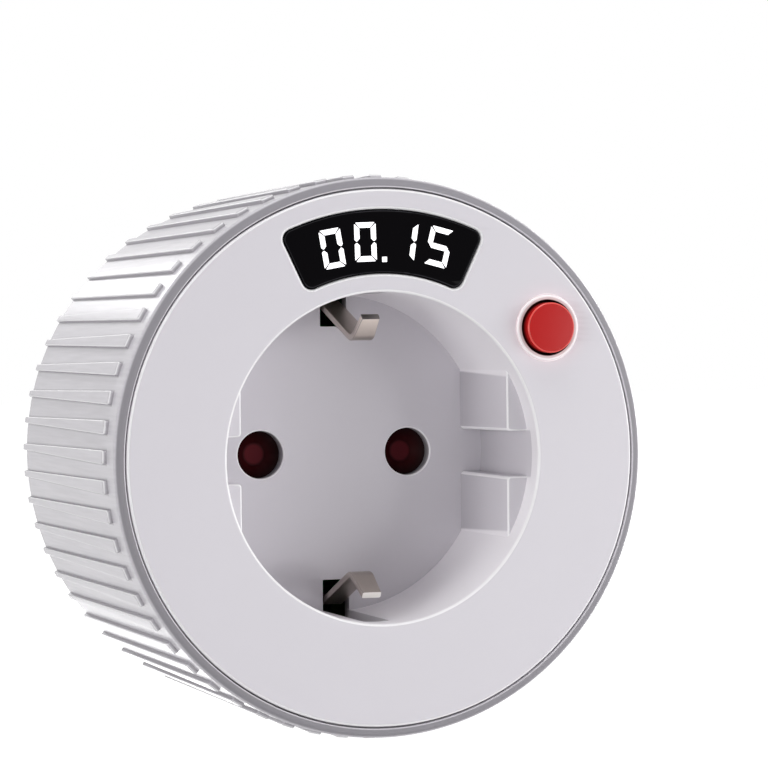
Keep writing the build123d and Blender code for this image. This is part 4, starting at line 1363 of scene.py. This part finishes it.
def make_setting_ring():
    """Ribbed sleeve with its inner gear."""
    step = 360.0 / GEAR_TEETH
    mesh = arrayed(sleeve_form(), rib_form(), RIB_COUNT, RIB_AZIMUTH, 360.0 / RIB_COUNT, "rim")
    mesh = arrayed(mesh, tooth_form(), GEAR_TEETH, PINION_AZIMUTH + step / 2, step, "rim")
    piece("ribbed_ring", mesh, "shell", "setting_ring", "ring", "rim")


# ---------------------------------------------------------------- rear and plug
def make_rear_housing():
    """Rear housing with the plug's boss: its CAD mesh, merged, with its edges broken."""
    shape = bmesh.new()
    shape.from_mesh(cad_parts["rear_housing"].data)
    bmesh.ops.remove_doubles(shape, verts=shape.verts, dist=2e-6)
    flat = math.radians(0.6)
    bmesh.ops.dissolve_limit(
        shape, angle_limit=flat, verts=shape.verts, edges=shape.edges, delimit={"NORMAL"}
    )
    carrier = new_object("housing_carrier", plain_mesh("housing_merged", shape))
    bevel = adjusted(carrier.modifiers.new("edges", "BEVEL"), width=HOUSING_BEVEL * MM, segments=2)
    adjusted(bevel, limit_method="ANGLE", angle_limit=math.radians(35.0), use_clamp_overlap=True)
    piece("rear_housing_skin", smoothed(applied(carrier)), "housing", "rear_housing")


def make_plug_pin(side, label):
    """Turned pin with its rounded nose, root and riveted tail."""
    shape = bmesh.new()
    tip = PLUG_END + PIN_LENGTH
    profile = rounded([
        (0.0, tip), (PIN_RADIUS, tip), (PIN_RADIUS, PLUG_END), (PIN_ROOT[0], PLUG_END), PIN_ROOT,
        (PIN_FLANGE[0], PIN_ROOT[1]), PIN_FLANGE, (PIN_TAIL[0], PIN_FLANGE[1]), PIN_TAIL, (0.0, PIN_TAIL[1]),
    ], [0, PIN_NOSE, 0, 0.1, 0, 0.15, 0.15, 0, 0.3, 0], 8)
    add_turned(shape, profile, (side * PIN_PLACE, 0.0), 96)
    piece("plug_pin_skin_" + label, shape, "pin_nickel", "plug_pin_" + label)


def make_plug_earth_strip():
    """Bent strip whose ends are the plug's side contacts."""
    shape = bmesh.new()
    half_path = [(STRIP_LEG - 0.9, STRIP_END), (STRIP_LEG, STRIP_END - 1.4), (STRIP_LEG, STRIP_BAR)]
    path = bent_path(half_path + mirrored(half_path), [0.6] * 4)
    add_swept(shape, path, [STRIP_WIDTH] * len(path), STRIP_THICKNESS, 0.15)
    piece("plug_earth_contacts", shape, "nickel", "plug_earth_strip")


def cross_outline(tip, half):
    """Twelve-cornered cross."""
    return [
        (tip, -half), (tip, half), (half, half), (half, tip), (-half, tip), (-half, half),
        (-tip, half), (-tip, -half), (-half, -half), (-half, -tip), (half, -tip), (half, -half),
    ]


def case_screw_form():
    """Case screw with a cross recess in its head, at azimuth 0."""
    shape = bmesh.new()
    place = (SCREW_PLACE, 0.0)
    add_plate(shape, [
        (circle(SCREW_HEAD, 48, place), 0.05, 0.45),
        (placed(cross_outline(*SCREW_CROSS), place, 20.0), 0.0, 0.06),
    ], SCREW_SEAT + 0.7, SCREW_SEAT + SCREW_HEAD_HEIGHT)
    add_turned(shape, rounded([
        (0.0, SCREW_TIP[1]), SCREW_TIP, SCREW_THREAD, (SCREW_THREAD[0], SCREW_SEAT),
        (SCREW_HEAD, SCREW_SEAT), (SCREW_HEAD, SCREW_SEAT + 0.72), (0.0, SCREW_SEAT + 0.72),
    ], [0, 0.1, 0.1, 0, 0.12, 0, 0], 3), place, 48)
    return finished_mesh("case_screw_form", shape)


def make_case_screws():
    """Three screws that hold the rear housing, at azimuths 180, 270 and 0."""
    empty = bpy.data.meshes.new("case_screw_base")
    mesh = arrayed(empty, case_screw_form(), 3, 180.0, 90.0, "screw_steel")
    piece("case_screw_set", mesh, "screw_steel", "case_screws")


def dress_cad_nodes():
    """Procedural finish on each CAD node that stays, by its own slot names."""
    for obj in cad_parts.values():
        for slot in obj.material_slots:
            label = slot.material.name.split(".")[0] if slot.material else ""
            if label in materials:
                slot.material = materials[label]


# ---------------------------------------------------------------- studio
FLOOR_SIZE = 6.0
FLOOR_HEIGHT = -0.16
FLOOR_NEAR = 0.3                # the floor's glow rises from here
FLOOR_FAR = 1.2
FLOOR_GLOW = 0.56
WORLD_LIGHT = 0.24
CAMERA_TURNS = (-20.686, 1.210, -0.576)     # yaw, pitch and roll
CAMERA_PLACE = (-0.170, 9.173, 442.53)      # across, up and back from the face, as it looks
LAMP_AIM = Vector((0.0, -0.045, 0.0))
# Azimuth in the face plane, angle off the axis, distance and size in metres, power.
LAMPS = {
    "top_box": (95.0, 82.0, 0.9, 0.4, 3.4),
    "right_box": (0.0, 65.0, 0.9, 0.4, 3.8),
    "left_box": (182.0, 62.0, 0.9, 0.4, 3.3),
    "left_front_box": (184.0, 20.0, 0.9, 0.4, 0.2),
    "right_front_box": (-10.0, 40.0, 0.9, 0.4, 2.6),
    "rear_box": (106.0, 159.5, 0.9, 0.16, 0.26),
    "rear_fill": (0.0, 148.0, 0.9, 0.4, 4.0),
    "rear_low_box": (-74.0, 157.5, 0.31, 0.085, 0.046),
}


def floor_paint():
    """Paint of the floor: matt, and bright where it is seen away from the object."""
    material, tree, shader = blank_material("floor_paint")
    feed(shader, {"Base Color": (0.6, 0.6, 0.6, 1.0), "Roughness": 1.0, "Specular IOR Level": 0.0})
    away = fetch(tree, "ShaderNodeVectorMath", "Value", {0: coordinates(tree)}, operation="LENGTH")
    strength = seen_rays(tree) * mapped(away, FLOOR_NEAR, FLOOR_FAR, FLOOR_GLOW, 1.0)
    glow = fetch(tree, "ShaderNodeEmission", "Emission", {"Strength": strength})
    both = fetch(tree, "ShaderNodeAddShader", "Shader", {0: Wire(shader, "BSDF"), 1: glow})
    feed(tree.nodes["Material Output"], {"Surface": both})
    return material


def make_floor():
    """Pale floor that keeps the object's shadow."""
    shape = bmesh.new()
    size = FLOOR_SIZE
    corners = [(-size, -size), (size, -size), (size, size), (-size, size)]
    shape.faces.new([shape.verts.new((x, y, FLOOR_HEIGHT)) for x, y in corners])
    floor = new_object("studio_floor", plain_mesh("studio_floor", shape))
    floor.data.materials.append(floor_paint())


def make_world():
    """White to the camera and in reflections, softer as light."""
    world = bpy.data.worlds.new("studio_world")
    bpy.context.scene.world = world
    world.use_nodes = True
    strength = mapped(seen_rays(world.node_tree), 0.0, 1.0, WORLD_LIGHT, 1.0)
    feed(world.node_tree.nodes["Background"], {"Strength": strength, "Color": (1.0, 1.0, 1.0, 1.0)})


def make_lamps():
    """Soft boxes all round the front, two small ones behind for the ribs' edges, and a rear fill."""
    for name, (azimuth, off_axis, distance, size, power) in LAMPS.items():
        data = adjusted(bpy.data.lights.new(name, "AREA"), shape="SQUARE", size=size, energy=power)
        x, z = polar(math.sin(math.radians(off_axis)), azimuth)
        away = Vector((x, -math.cos(math.radians(off_axis)), z))
        lamp = new_object(name, data)
        lamp.location = LAMP_AIM + away * distance
        lamp.rotation_euler = away.to_track_quat("Z", "Y").to_euler()
        lamp.visible_camera = False


def make_camera():
    """Long lens in front of the socket, a little to its left."""
    yaw, pitch, roll = (math.radians(turn) for turn in CAMERA_TURNS)
    stance = Matrix.Rotation(yaw, 3, "Z") @ Matrix.Rotation(math.pi / 2 - pitch, 3, "X")
    stance = stance @ Matrix.Rotation(roll, 3, "Z")
    place = (stance @ Vector(CAMERA_PLACE) + Vector((0.0, FRONT, 0.0))) * MM
    data = adjusted(bpy.data.cameras.new("camera"), sensor_width=36.0, lens=176.75, clip_start=0.01)
    camera = new_object("camera", data)
    camera.matrix_world = Matrix.LocRotScale(place, stance, None)
    bpy.context.scene.camera = camera


def set_view():
    """Plain colour handling."""
    bpy.context.scene.view_settings.view_transform = "Standard"


# ---------------------------------------------------------------- assembly
make_face_plate()
make_lens()
make_digits()
make_light_collar()
make_button_cap()
make_socket_well()
make_earth_clips()
make_setting_ring()
make_rear_housing()
make_case_screws()
make_plug_pin(-1.0, "left")
make_plug_pin(1.0, "right")
make_plug_earth_strip()
dress_cad_nodes()
make_floor()
make_world()
make_lamps()
make_camera()
set_view()

bpy.context.view_layer.update()
